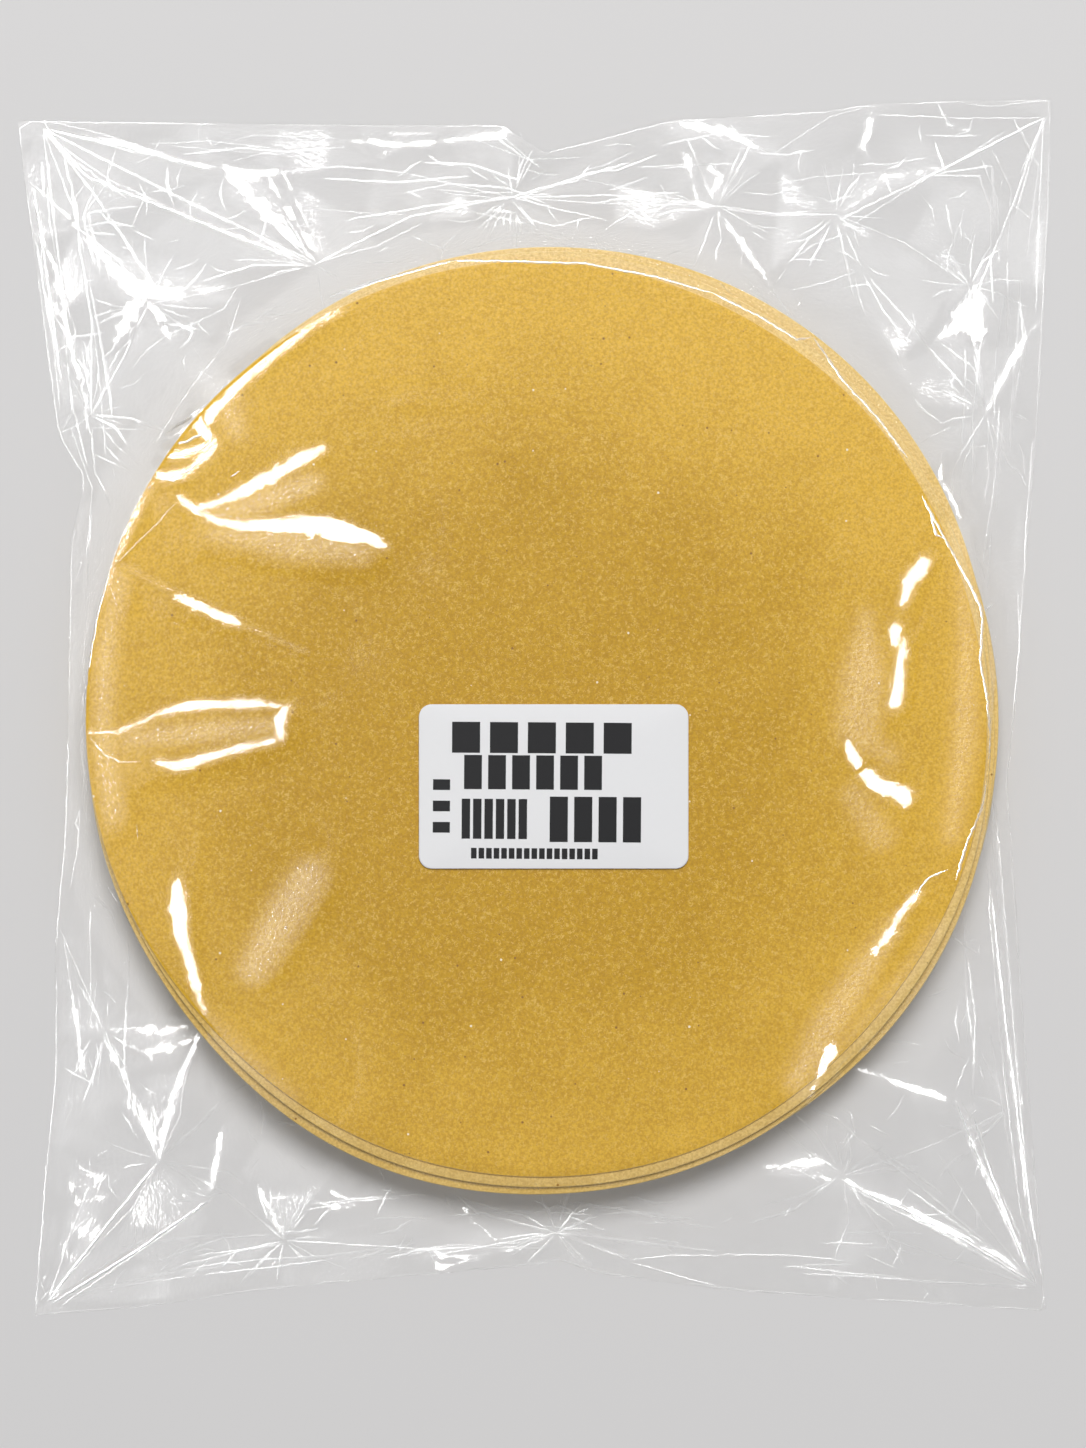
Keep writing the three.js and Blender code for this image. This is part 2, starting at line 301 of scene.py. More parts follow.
def papad_dough(name, heart, rim):
    """Dough whose colour goes from heart in the middle to rim at the edge."""
    material, output = new_material(name)
    place = node(material, "TexCoord").outputs["Object"]
    flat = node(material, "VectorMath", {0: place, 1: (1, 1, 0)}, operation="MULTIPLY").outputs["Vector"]
    centre = (STACK_CENTRE[0] * MM, STACK_CENTRE[1] * MM, 0)
    reach = node(material, "VectorMath", {0: flat, 1: centre}, operation="DISTANCE").outputs["Value"]
    radius = PAPAD_RADIUS * MM

    # Painted light: paler towards the rim, for light that shines through the thin dough there, and paler on
    # the upper side, towards the key lamp; soft patches of tone come on top
    painted_rim_light = between(material, reach, 0.39 * radius, 1.02 * radius)
    upward = node(material, "VectorMath", {0: place, 1: LIT_SIDE_WAY}, operation="DOT_PRODUCT")
    painted_lit_side = between(material, upward.outputs["Value"], -radius, radius, -0.38, 0.18, "LINEAR")
    mottle = node(material, "TexNoise", {"Vector": place, "Scale": 60.0, "Detail": 5.0, "Roughness": 0.65})
    mottle_and_painted_light = sums(material, "ADD", between(material, mottle.outputs["Fac"], 0.3, 0.7, -0.17, 0.17), painted_rim_light)
    mottle_and_painted_light = sums(material, "ADD", mottle_and_painted_light, painted_lit_side, use_clamp=True)
    colour = blend(material, mottle_and_painted_light, heart, rim)

    # Fine sandy grain
    grain = node(material, "TexNoise", {"Vector": place, "Scale": 2200.0, "Detail": 2.0, "Roughness": 0.65})
    sandy = between(material, grain.outputs["Fac"], 0.3, 0.7)
    shade = blend(material, sandy, (0.87, 0.81, 0.7, 1), (1.12, 1.15, 1.25, 1))
    colour = blend(material, 1.0, colour, shade, "MULTIPLY")

    # Short curly streaks: thin lines where one noise is near its middle, broken up by another
    fibre = node(material, "TexNoise", {"Vector": place, "Scale": 1250.0, "Detail": 1.0, "Distortion": 1.2})
    ridge = sums(material, "ABSOLUTE", sums(material, "SUBTRACT", fibre.outputs["Fac"], 0.5))
    break_up = node(material, "TexNoise", {"Vector": place, "Scale": 1150.0, "Detail": 0.0})
    broken = between(material, break_up.outputs["Fac"], 0.44, 0.6, 0.0, 0.62)
    heartwards = between(material, painted_rim_light, 1.0, 0.5, 0.6, 0.9)
    streak = sums(material, "MULTIPLY", between(material, ridge, 0.055, 0.015), broken)
    streak = sums(material, "MULTIPLY", streak, heartwards)
    colour = blend(material, streak, colour, (0.82, 0.56, 0.15, 1))

    # Flecks: one round spot in some cells of a flat pattern, dark in many and pale in a few
    fleck = node(material, "TexVoronoi", {"Vector": flat, "Scale": 170.0, "Randomness": 1.0},
                 voronoi_dimensions="2D")
    fleck_kind = node(material, "SeparateColor", {"Color": fleck.outputs["Color"]})
    fleck_size = sums(material, "MULTIPLY_ADD", fleck_kind.outputs["Blue"], 0.03, 0.01)
    fleck_here = sums(material, "LESS_THAN", fleck.outputs["Distance"], fleck_size)
    dark, pale = (0.29, 0.14, 0.025, 1), (0.9, 0.8, 0.6, 1)
    for channel, above, fleck_colour in (("Green", 0.72, dark), ("Red", 0.93, pale)):
        chosen = sums(material, "GREATER_THAN", fleck_kind.outputs[channel], above)
        colour = blend(material, sums(material, "MULTIPLY", fleck_here, chosen), colour, fleck_colour)

    # Painted light on the cut edge: faces that turn sideways are made paler, for light that shines through
    # the thin dough and to lift the shade on them
    upright = node(material, "SeparateXYZ", {"Vector": node(material, "NewGeometry").outputs["Normal"]})
    painted_edge_light = between(material, upright.outputs["Z"], 0.97, 0.8, 0.0, PAINTED_EDGE_LIGHT)
    colour = blend(material, painted_edge_light, colour, (0.85, 0.66, 0.3, 1))

    bump = node(material, "Bump", {"Height": grain.outputs["Fac"], "Strength": 0.4, "Distance": 0.00005})
    shader = node(material, "BsdfPrincipled", {
        "Base Color": colour, "Roughness": 0.6, "Specular IOR Level": 0.05,
        "Normal": bump.outputs["Normal"]})
    material.node_tree.links.new(shader.outputs["BSDF"], output.inputs["Surface"])
    return material


# %% [markdown]
# ## The stack
# Each papad is a thin disc of its own, slightly oval and waved at the rim, because dough is rolled
# and cut by eye. The five at the top are pressed on one another and the ones below lie a little
# looser, so that together they fill the height of the pack. The top one is cut flatter at its lower
# left. A disc is rings of points, from the middle out, round the edge and back underneath.


# %% Papads
PAPAD_COUNT = 17
PAPAD_THICKNESS = 0.47
STACK_TOP = 10.2
PRESSED_COUNT = 5
PRESSED_PITCH = 0.49
LOOSE_PITCH = (STACK_TOP - PRESSED_COUNT * PRESSED_PITCH) / (PAPAD_COUNT - PRESSED_COUNT)
PAPAD_OVAL = 0.012
FLAT_DEPTH = 1.3
FLAT_AT = 232.0
FLAT_WIDTH = 22.0
# How far each papad lies from the middle of the stack, from the top one down
PAPAD_SHIFTS = [(0.0, 0.0), (1.4, -1.6), (1.2, 1.3), (0.2, -3.0), (2.6, -2.2), (2.2, 2.9), (2.6, 0.3)]
LOWER_CENTRE = (1.2, -0.4)
LOWER_SPREAD = 0.6


def rim_radius(angle, index):
    """Radius of papad number index: its mean radius, a slight oval and a few small random waves. The
    top one loses FLAT_DEPTH times e to the power of -(off / FLAT_WIDTH) squared."""
    waves = np.random.default_rng(100 + index)
    radius = PAPAD_RADIUS * (1 - PAPAD_OVAL * np.cos(2 * angle))
    for count in range(2, 9):
        radius += waves.normal(0, 0.55 / count) * np.cos(count * angle + waves.uniform(0, 2 * math.pi))
    if index == 0:
        off_flat = (np.degrees(angle) - FLAT_AT + 180) % 360 - 180
        radius -= FLAT_DEPTH * np.exp(-(off_flat / FLAT_WIDTH) ** 2)
    return radius


def papad(index, material):
    """Papad number index, counted from the top. Rings run from the middle out over the upper face,
    down round the edge in a quarter of an oval and back over the lower face."""
    angle = np.linspace(0, 2 * math.pi, 240, endpoint=False)
    if index < len(PAPAD_SHIFTS):
        shift = PAPAD_SHIFTS[index]
    else:
        shift = LOWER_CENTRE + np.random.default_rng(index).normal(0, LOWER_SPREAD, 2)
    centre = STACK_CENTRE + shift
    radius = rim_radius(angle, index)
    half = PAPAD_THICKNESS / 2
    bend = np.radians([90, 70, 45, 20, 0])
    shares = np.linspace(0.06, 0.97, 14)
    reaches = [radius * share for share in shares]
    reaches += [radius - half * (1 - math.cos(b)) for b in bend]
    reaches += [radius * share for share in shares[::-1]]
    levels = [half] * len(shares) + [2 * half * math.sin(b) - half for b in bend] + [-half] * len(shares)
    reaches, levels = np.array(reaches), np.array(levels)
    x = centre[0] + reaches * np.cos(angle)
    y = centre[1] + reaches * np.sin(angle)
    pressed = min(index, PRESSED_COUNT)
    middle = STACK_TOP - half - pressed * PRESSED_PITCH - (index - pressed) * LOOSE_PITCH
    z = np.broadcast_to((middle + levels)[:, None], x.shape)
    return closed_rings(f"papad_{index + 1:02d}", np.stack([x, y, z], -1), material)


top_dough = papad_dough("top_dough", (0.525, 0.296, 0.009, 1), (0.722, 0.434, 0.043, 1))
# The lower papads get a paler copy of the dough: painted light, which lifts the shade they lie in under the
# papads above them
lower_dough_painted_lighter = papad_dough("lower_dough_painted_lighter", (0.58, 0.37, 0.08, 1), (0.77, 0.55, 0.2, 1))
papads = [papad(index, lower_dough_painted_lighter if index else top_dough) for index in range(PAPAD_COUNT)]
for piece in papads:
    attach(piece, "root")
    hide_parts("bag")
print(len(papads), "papads")

# %% [markdown]
# ## The bag's outline
# The bag is a flat tube of film, sealed along its edges. Its sides are drawn in by the stack and
# its corners spread out. The outline is given by the few places where it turns.

# %% Outline of the bag
BAG_OUTLINE = np.array([
    [-94.5, -115.0], [-74.2, -113.6], [-52.9, -110.5], [-24.7, -107.7], [-0.8, -105.8], [4.6, -104.7],
    [11.9, -107.2], [38.3, -110.5], [59.9, -112.0], [96.7, -114.2],
    [94.5, -85.4], [92.2, -55.1], [90.0, -23.7], [89.4, -13.9], [90.9, 0.0], [93.0, 27.6],
    [95.0, 52.5], [97.3, 94.9], [97.8, 115.0],
    [78.9, 114.7], [63.8, 114.1], [55.4, 112.8], [25.7, 111.1], [2.0, 104.9], [-6.3, 110.2],
    [-56.7, 110.4], [-97.8, 111.0],
    [-96.5, 99.6], [-90.0, 51.5], [-84.9, 43.1], [-87.7, 31.4], [-88.2, -4.9], [-89.0, -27.1],
    [-90.5, -43.2], [-90.7, -70.3], [-92.4, -86.5]])


def walk_along(corners, count):
    """Points spaced evenly along a chain of corners: each is found by its distance along the sides."""
    along = np.concatenate([[0], np.cumsum(np.hypot(*np.diff(corners, axis=0).T))])
    wanted = np.linspace(0, along[-1], count)
    return np.stack([np.interp(wanted, along, column) for column in corners.T], 1)


closed_outline = np.vstack([BAG_OUTLINE, BAG_OUTLINE[:1]])


def outline_radius(angle):
    """Distance from the stack's centre to the bag's edge along an angle, read off the outline."""
    dense = walk_along(closed_outline, 3601)[:-1] - STACK_CENTRE
    at = np.arctan2(dense[:, 1], dense[:, 0])
    order = np.argsort(at)
    return np.interp(angle, at[order], np.hypot(*dense[order].T), period=2 * math.pi)


# %% [markdown]
# ## Slack film
# The film is first worked out as a height over a fine square lattice. Over the stack it lies on the
# top papad, drops off the rim, and slopes down gently to the edge, where front and back lie
# together. Pinched points of the margin send folds out like a star: each is a height that grows
# with the distance from the point, at a slope that changes with the direction.

# %% Height of the slack film
STEP = 0.4
LATTICE_COUNTS = (512, 600)
lattice_x, lattice_y = ((np.arange(count) - (count - 1) / 2) * STEP for count in LATTICE_COUNTS)
X, Y = np.meshgrid(lattice_x, lattice_y)
ANGLE = np.arctan2(Y - STACK_CENTRE[1], X - STACK_CENTRE[0])
REACH = np.hypot(X - STACK_CENTRE[0], Y - STACK_CENTRE[1])
FILM_GAP = 0.25
EDGE_BESIDE_STACK = 4.2
EDGE_AT_CORNERS = 2.6
EDGE_WAVE = 0.4
SEAL_WIDTH = 2.6
SEAL_GAP = 0.06
SLACK_SLOPE = 0.04
RIM_DROP = 8.0
BACK_RISE = 6.0


def edge_height(angle):
    """Height of the sealed edge: highest beside the stack, lower at the corners, gently waved."""
    beside = np.abs(np.cos(angle)) ** 3
    level = EDGE_AT_CORNERS + (EDGE_BESIDE_STACK - EDGE_AT_CORNERS) * beside
    return level + EDGE_WAVE * np.sin(13 * angle)


def smooth_step(t):
    """Goes from 0 to 1 as t does, with level ends: t squared times (3 - 2 t)."""
    t = np.clip(t, 0, 1)
    return t * t * (3 - 2 * t)


def soften(height, spread):
    """Gaussian blur of a lattice by a spread in millimetres, as a product in frequency space."""
    across = np.fft.fftfreq(height.shape[1], STEP)
    up = np.fft.fftfreq(height.shape[0], STEP)
    damp = np.exp(-2 * (math.pi * spread) ** 2 * (across[None, :] ** 2 + up[:, None] ** 2))
    return np.real(np.fft.ifft2(np.fft.fft2(height) * damp))


edge = edge_height(ANGLE)
rim = rim_radius(ANGLE, 0)
beyond = np.maximum(REACH - rim, 0)
loose_width = np.maximum(outline_radius(ANGLE) - rim - SEAL_WIDTH, 1.0)
to_seal = np.clip(loose_width - beyond, 0, None)
slack = edge + SLACK_SLOPE * to_seal
drop = np.minimum(RIM_DROP, 0.95 * loose_width)
front = slack + (STACK_TOP + FILM_GAP - slack) * (1 - smooth_step(beyond / drop))
back = edge * smooth_step(1 - to_seal / np.minimum(BACK_RISE, 0.8 * loose_width))

# %% [markdown]
# ## Pinched points
# Where film is caught between a corner and the stack, folds run out from one point like a star.
# Each fold is a change of slope with the direction, and between two folds the film is a plane.

# %% Pinched points of the margin
# Each has its place, its reach, and its folds as (direction in degrees, slope) pairs
PINCHES = [
    (-41.5, 83.7, 46, [(16, 0.1), (108, -0.25), (135, -0.2), (154, 0.22), (200, -0.1)]),
    (-86.4, 90.6, 34, [(5, -0.2), (62, 0.2), (120, -0.1), (228, 0.16), (292, -0.22), (315, 0.2)]),
    (-72.8, 76.1, 26, [(12, 0.25), (50, -0.2), (135, 0.2), (225, -0.25), (300, 0.15)]),
    (-83.8, 55.3, 30, [(20, 0.25), (52, -0.25), (82, 0.22), (110, -0.15), (330, 0.15)]),
    (-4.2, 96.3, 20, [(60, 0.25), (105, -0.25), (176, 0.25), (235, -0.2), (305, 0.2)]),
    (34.5, 94.8, 30, [(5, -0.2), (60, 0.25), (118, -0.25), (150, 0.2), (205, -0.15), (304, 0.25)]),
    (56.9, 93.1, 34, [(25, 0.25), (50, -0.25), (112, 0.22), (175, -0.2), (235, 0.2), (320, -0.2)]),
    (85.4, 55.6, 28, [(62, 0.25), (95, -0.2), (125, 0.25), (170, -0.15), (290, 0.15)]),
    (82.2, 79.7, 22, [(20, -0.2), (80, 0.2), (150, -0.2), (215, 0.25), (300, -0.25)]),
    (-81.0, -61.2, 30, [(2, 0.25), (25, -0.2), (112, 0.2), (200, -0.15), (295, 0.25), (330, -0.25)]),
    (-70.8, -85.5, 36, [(20, -0.15), (65, 0.25), (100, -0.2), (140, 0.2), (236, 0.25), (300, -0.25)]),
    (-47.5, -100.8, 26, [(0, 0.2), (60, -0.15), (118, 0.25), (175, -0.2), (260, 0.15)]),
    (4.2, -99.6, 24, [(30, 0.2), (75, -0.25), (135, 0.2), (185, -0.2), (270, 0.25), (320, -0.2)]),
    (58.6, -88.5, 46, [(25, -0.15), (50, 0.2), (172, 0.2), (250, -0.15), (331, 0.25), (350, -0.2)]),
    (90.0, -76.0, 34, [(95, 0.25), (130, -0.25), (190, 0.2), (230, -0.2), (275, 0.2)]),
]
PINCH_STRENGTH = 0.35


def pinch(x, y, reach, folds):
    """Folds that run out from one point of the film: height = slope(azimuth) * distance, faded to
    nothing at the reach. The slope changes in straight lines from one fold to the next."""
    distance = np.hypot(X - x, Y - y)
    azimuth = np.degrees(np.arctan2(Y - y, X - x)) % 360
    slope = np.interp(azimuth, *np.array(folds).T, period=360)
    return slope * distance * np.clip(1 - distance / reach, 0, 1)


crumple = PINCH_STRENGTH * sum(pinch(*one) for one in PINCHES)
crumple = crumple * np.clip(beyond / 6, 0, 1) * np.clip(to_seal / 8, 0, 1)
front = front + crumple
back = back + 0.3 * crumple * np.clip(beyond / 10, 0, 1)
back = soften(np.maximum(back, 0.05), 0.6)
front = soften(np.maximum(front, back + SEAL_GAP), 0.5)
print("slack film up to", round(float(front.max()), 2), "mm")

# %% [markdown]
# ## Flashes
# A flash is a place where the film leans so that it mirrors a strip lamp into the camera. The
# flashes are drawn as strokes, each a few (x, y, width) places, and the slope that makes the mirror
# is worked out for every lattice point under a stroke. The film is then the height whose slopes
# come nearest to those, found in frequency space a few dozen times over, with the film kept above
# what lies below it. Seen from elsewhere the same folds mirror other things, as real film does.
# Glows are wide strokes of the same kind that lean only part of the way, where the film is rubbed
# and hazy. Over the stack a flash has a soft border, and in the margin a ragged, sharp one.

# %% Strokes of the flashes
# Broad, hazy ones, where the film is finely rubbed
GLOWS = [
    [(-60, 35.5, 3), (-50, 39, 5), (-42, 42, 4)], [(-60, 32.5, 2), (-46, 31, 6), (-33, 29.5, 4)],
    [(-76, -6.2, 2), (-62.9, -4.7, 4), (-50, -3.4, 3)],
    [(-42.6, -31.8, 6), (-46.5, -38, 7), (-53, -49, 5)],
    [(62, 17, 2), (61.5, 6, 8), (60.5, -4, 8), (66, -9, 4)], [(60, -17, 4), (64.5, -24, 5)],
    [(67, -41, 3), (61, -50, 5), (54.5, -60, 6), (49, -70, 4)],
    [(-63, 63, 3), (-58, 58, 5), (-56, 52, 3)], [(-62, -57, 1), (-54.5, -65.5, 3), (-45, -73, 1)],
    [(79, 33, 0.5), (81, 12, 3), (80.5, -6, 4), (78, -24, 2)],
    [(75, -42, 0.3), (67, -53, 1), (57, -64, 0.5)],
    [(-78, 24, 1), (-80.5, 10, 3), (-81, -4, 3), (-79, -20, 2)],
    [(-92, 97, 1), (-83, 88, 3), (-74, 79, 8), (-60, 79, 3)], [(-55, 98, 6), (-49, 94, 4), (-43, 86, 1)],
    [(84, 78, 3), (82.5, 73, 6), (79, 70, 2)], [(27, 110, 3), (37, 108, 3), (46, 104, 1)],
    [(58, 94, 1), (64, 99, 5), (74, 101, 2)], [(-78, -61.5, 3), (-70, -63, 5), (-64, -61, 1)],
    [(-87, -86, 2), (-84, -91, 5), (-86, -98, 4)],
    [(48, -87, 3), (60, -90, 3), (78, -99, 2), (92, -107, 1)],
    [(61, -68.5, 1), (70, -71.5, 3), (77, -74, 1)], [(-20, -104, 2), (-10, -101, 4), (2, -100, 2)],
]
GLOW_EDGE = 6.0
GLOW_LEAN = 0.36
GLOW_WEIGHT = 0.8
# Narrow, bright ones
FLASHES = [
    [(-58, 101, 1.9), (-51.2, 94.4, 3), (-46, 89.3, 1.7), (-41.8, 84.8, 0.6)],
    [(-57.6, 100.6, 1.1), (-51.2, 100.6, 2.3), (-47.8, 101.7, 1.1)],
    [(-51, 100.6, 2), (-46.6, 94, 1.4), (-42.3, 86.2, 0.6)],
    [(-47.7, 101.3, 1.3), (-44.6, 94.4, 0.9), (-42.6, 88.7, 0.9), (-41.6, 85.2, 0.6)],
    [(-96.2, 99.8, 0.4), (-92.4, 97.8, 0.6), (-87, 91.4, 1.1), (-82.6, 85.7, 1.9), (-78.3, 81.8, 2.6),
     (-74.2, 78, 4.9), (-69.5, 78.4, 3), (-63.8, 78.4, 1.7), (-56.1, 79.9, 0.4)],
    [(-74.2, 78, 4.1), (-76.4, 74.3, 3.4), (-78.3, 70.1, 2.6)],
    [(-73.2, 76.9, 2.6), (-70.8, 73.1, 1.7), (-68.9, 70.1, 0.9), (-64.2, 72.4, 0.6)],
    [(-93.5, 89.1, 0.9), (-90.7, 83.7, 1.5), (-89.2, 75.6, 1.1), (-87.7, 68.1, 1.1),
     (-85.8, 61.5, 0.9), (-83.9, 55.5, 0.6)],
    [(-36.9, 107.3, 0.6), (-28.1, 106.6, 1.1), (-21.5, 106.4, 1.1), (-17.8, 107.2, 0.8),
     (-9.5, 108.1, 1.3), (-6.5, 108.5, 2.3), (-5.5, 109.2, 1.7)],
    [(25.7, 111.3, 0.6), (30.6, 109.8, 2.4), (36.2, 109.2, 2.1), (42, 105.7, 0.8)],
    [(28.5, 104.9, 0.8), (29.6, 101.7, 1.3), (30.7, 96.3, 0.6)],
    [(31.9, 103.6, 0.8), (35.2, 100.6, 1.3), (33.7, 96.8, 1.5)],
    [(34.7, 93.6, 0.6), (38.8, 88.2, 1.1), (41.8, 83.7, 1.3), (44.6, 79.7, 0.6)],
    [(64.4, 112.6, 0.6), (62.9, 108.3, 1.9), (62.1, 105.5, 1.5), (63.6, 102.5, 0.6)],
    [(57.6, 93.4, 0.6), (63.6, 97.2, 1.1), (66.1, 100.2, 2.1), (70.2, 100.6, 0.9), (76.6, 101.9, 0.6)],
    [(83.4, 79.6, 1.1), (83, 76.5, 4.6), (82, 73.3, 6.2), (83.8, 70.8, 4)],
    [(76.2, 69.7, 0.8), (79.1, 71.2, 2.8), (81.5, 73.3, 5)],
    [(85.8, 56.6, 0.6), (89.4, 64.1, 1.3), (92, 68.4, 1.1), (95.6, 73.3, 0.6)],
    [(76.6, 47.4, 0.8), (76.4, 43.4, 1.5), (78.1, 39.9, 1.1), (80, 35.5, 0.6)],
    [(-36.6, 74.6, 0), (-41.6, 71.9, 0.3), (-47.2, 67.8, 1.1), (-55.6, 60.4, 1.5), (-61.6, 53.4, 1.6)],
    [(-69.1, 47.2, 0.8), (-66.3, 47.2, 1.1), (-62.7, 48.3, 1.1), (-60.3, 50.2, 0.9)],
    [(-70.4, 43.4, 0.9), (-68.3, 43.1, 1.2), (-64.8, 44.4, 1.2), (-62.3, 46.4, 1.1), (-60.3, 48.9, 0.9)],
    [(-68.3, 50.6, 0.7), (-65, 53, 1), (-62.7, 55.6, 1.2)],
    [(-72, 42.5, -0.2), (-73.9, 38.6, 0.1), (-75.8, 34.6, 0.3), (-77.4, 31.2, 0.4), (-79, 27, 0.1),
     (-81, 20, -0.4)],
    [(-63.8, 54.6, 2.4), (-62, 52, 2.2), (-60.6, 49.2, 1.0), (-61.6, 46.6, 0.3)],
    [(-40.1, 48.3, 0.7), (-44.8, 46.1, 1.8), (-51.6, 41.9, 1.9), (-57.8, 38.9, 1.1), (-63.5, 37, 0.5)],
    [(-66.5, 39.3, 0.8), (-63.6, 37, 0.7), (-58.8, 34.6, 0.9), (-53.5, 33.8, 1.7), (-43, 34, 3.2),
     (-35.6, 32.9, 3.4), (-30.6, 31.4, 1.7), (-28.3, 30.3, 0.6)],
    [(-66.8, 20.7, 0.8), (-61.6, 18.2, 1.5), (-58.2, 16.9, 1.3), (-55.4, 15.6, 0.6)],
    [(-78.5, 27.3, -0.9), (-67, 21.2, -0.6)], [(-55.2, 15.8, -0.6), (-42.6, 10.3, -0.95)],
    [(-83.6, -4.7, 0.2), (-78.1, -4.7, 0.3), (-71.7, -1.7, 0.3), (-65.5, 0.2, 1.0), (-55.9, 0.8, 1.1),
     (-50.7, 0.6, 1.0), (-47.1, 0, 0.4)],
    [(-46.9, -0.4, 1.2), (-47.8, -2.8, 1.6), (-47.8, -5.8, 0.6)],
    [(-71, -10.3, 0.5), (-66.6, -11.1, 1.4), (-60.1, -9.2, 0.7), (-53.5, -7.3, 0.4), (-48.6, -6.2, 0.3)],
    [(-67, -33.3, 1.2), (-67, -37.2, 2.5), (-66.3, -41.9, 1.9), (-65.3, -45.9, 1.2),
     (-63.5, -52.3, 0.7), (-61.8, -57.5, 0.2)],
    [(72.7, 26.7, 2.1), (70.4, 23.9, 2.4), (68.9, 19.4, 0.8)], [(67.4, 15.2, 1.5), (67.6, 12, 1.1)],
    [(69.1, 12.2, 0.8), (68.5, 7.9, 1.3), (67.4, 0.8, 2.3)],
    [(58.6, -6.6, 0.9), (60.1, -10.2, 2.4), (63.5, -13.9, 2.4), (69.3, -16.7, 2.6)],
    [(71.9, -34.8, 0.6), (68.3, -39.1, 1.1), (65.9, -43.1, 1.7), (63.6, -46.2, 1.1)],
    [(55.4, -64.3, 2.3), (53.5, -68.8, 1.1), (51.8, -72.8, 0.8), (51.6, -74.6, 0.6)],
    [(-80.6, -60.9, 0.6), (-76.2, -61.1, 1.3), (-70.8, -61.3, 2.3), (-66.3, -60.3, 1.3),
     (-63.1, -61.1, 0.6)],
    [(-79.4, -61.9, 0.6), (-74, -65.2, 1.1), (-71.2, -64.9, 2.8), (-66.3, -63.4, 1.3),
     (-62.9, -61.5, 0.4)],
    [(-81.5, -62, 0.6), (-77.5, -69.6, 1.3), (-72.8, -79.9, 0.8), (-71, -84.6, 0.6)],
    [(-87.3, -85.4, 0.8), (-83.2, -89.5, 2.4), (-81.1, -88.5, 1)],
    [(-82.6, -90.8, 1.9), (-80.9, -91.9, 2.2)],
    [(-87.9, -89.5, 0.8), (-86.3, -93.7, 2), (-81.1, -92.7, 1.2)],
    [(-89.4, -101, 0.8), (-87.3, -104.2, 1.4)],
    [(-88.4, -96.8, 1), (-85.3, -98.9, 2.4), (-83.2, -96.8, 1.2)],
    [(-82.1, -97.9, 0.9), (-83.6, -99.8, 1.8)],
    [(-63.3, -61.9, 0.8), (-68.5, -73.9, 1.4), (-70.6, -84.8, 0.7)],
    [(-87.3, -55.1, 0.8), (-85.3, -68.6, 1.1)],
    [(-61.2, -91.6, 0.7), (-59.7, -83.3, 1.3), (-59.1, -79.2, 0.7)],
    [(-92.4, -108, 0.8), (-90.5, -111, 1.2)],
    [(-41.4, -93.7, 0.8), (-38, -94.4, 1.3), (-34.1, -94.2, 0.8)],
    [(-20, -102.6, 0.6), (-18.3, -106.2, 1.2), (-10.1, -104.2, 0.8)],
    [(76.4, 114.3, 0.7), (77.9, 110.7, 1.2), (82.4, 108.7, 0.8)],
    [(-47.7, -100, 0.6), (-50.3, -94.8, 1.3), (-52.4, -90.8, 0.9)],
    [(-51.2, -92.3, 0.6), (-48.8, -92.9, 1.3), (-46.9, -92.7, 0.6)],
    [(-38.4, -91.6, 0.9), (-36.2, -93.1, 1.3), (-33.4, -93.2, 0.8)],
    [(-20.2, -102.5, 0.6), (-17.8, -103.8, 1.3), (-12.5, -104, 0.9), (-3.9, -102.6, 0.8),
     (3.7, -99.8, 0.4)],
    [(-13.6, -94.6, 0.9), (-11.8, -97.4, 1.3), (-9.9, -98.5, 1.1), (-7.4, -101.1, 0.9)],
    [(43.1, -86.9, 0.6), (47.1, -86.7, 0.9), (49.9, -86.3, 2.1), (53.3, -85.9, 1.9), (54.8, -86.5, 0.8)],
    [(49.7, -87.6, 0.8), (59.5, -90.1, 0.9), (65.5, -92.9, 1.1), (73.4, -96.9, 1.1), (82.8, -102.3, 0.6)],
    [(60.3, -67.9, 0.6), (65.9, -69.7, 1.1), (69.7, -71.3, 1.5), (73.4, -72.6, 1.9), (77.7, -73.9, 0.9)],
    [(79.4, -74, 0.4), (84.3, -86.1, 1), (89.2, -96.8, 0.8), (95.2, -108.6, 0.3)],
    [(81.6, -77.1, 0.2), (86.5, -91.4, 0.4), (91.5, -104.9, 0.3)],
    [(86.1, -34.1, 0.4), (88.8, -58.3, 0.5), (91.5, -78.9, 0.6), (94.6, -100.4, 0.5)],
    [(87.2, -24, 0.3), (89.9, -52, 0.3), (92.2, -76, 0.4), (95.4, -97, 0.3)],
    [(58.3, -89.2, 0.9), (70, -94.4, 1.3), (81.6, -100.2, 1), (91.5, -106, 0.9)],
    [(-92.5, 109.5, 0.3), (-84.5, 100.5, 0.4), (-72.2, 95.6, 0.4), (-59.9, 90.7, 0.5),
     (-48.5, 86.2, 0.4), (-41.5, 83.9, 0.3)],
    [(-92, 109.6, 0.4), (-76.3, 106.2, 1.2), (-68, 103.6, 0.9), (-61.6, 102.1, 0.4), (-50, 101.3, 0.5)],
]


def strip_point(azimuth):
    """Place on the middle line of the strip lamps that lies nearest in azimuth, for arrays."""
    centres = np.array(STRIP_AZIMUTHS)
    nearest = centres[np.argmin(np.abs(azimuth[..., None] - centres), -1)]
    tilt = math.radians(STRIP_ZENITH)
    out = STRIP_DISTANCE * math.sin(tilt)
    turn = np.radians(nearest)
    along = out * np.tan(np.radians(np.clip(azimuth - nearest, -STRIP_REACH, STRIP_REACH)))
    x = out * np.cos(turn) - along * np.sin(turn)
    y = out * np.sin(turn) + along * np.cos(turn)
    return np.stack([x, y, np.full(x.shape, STRIP_DISTANCE * math.cos(tilt))], -1)


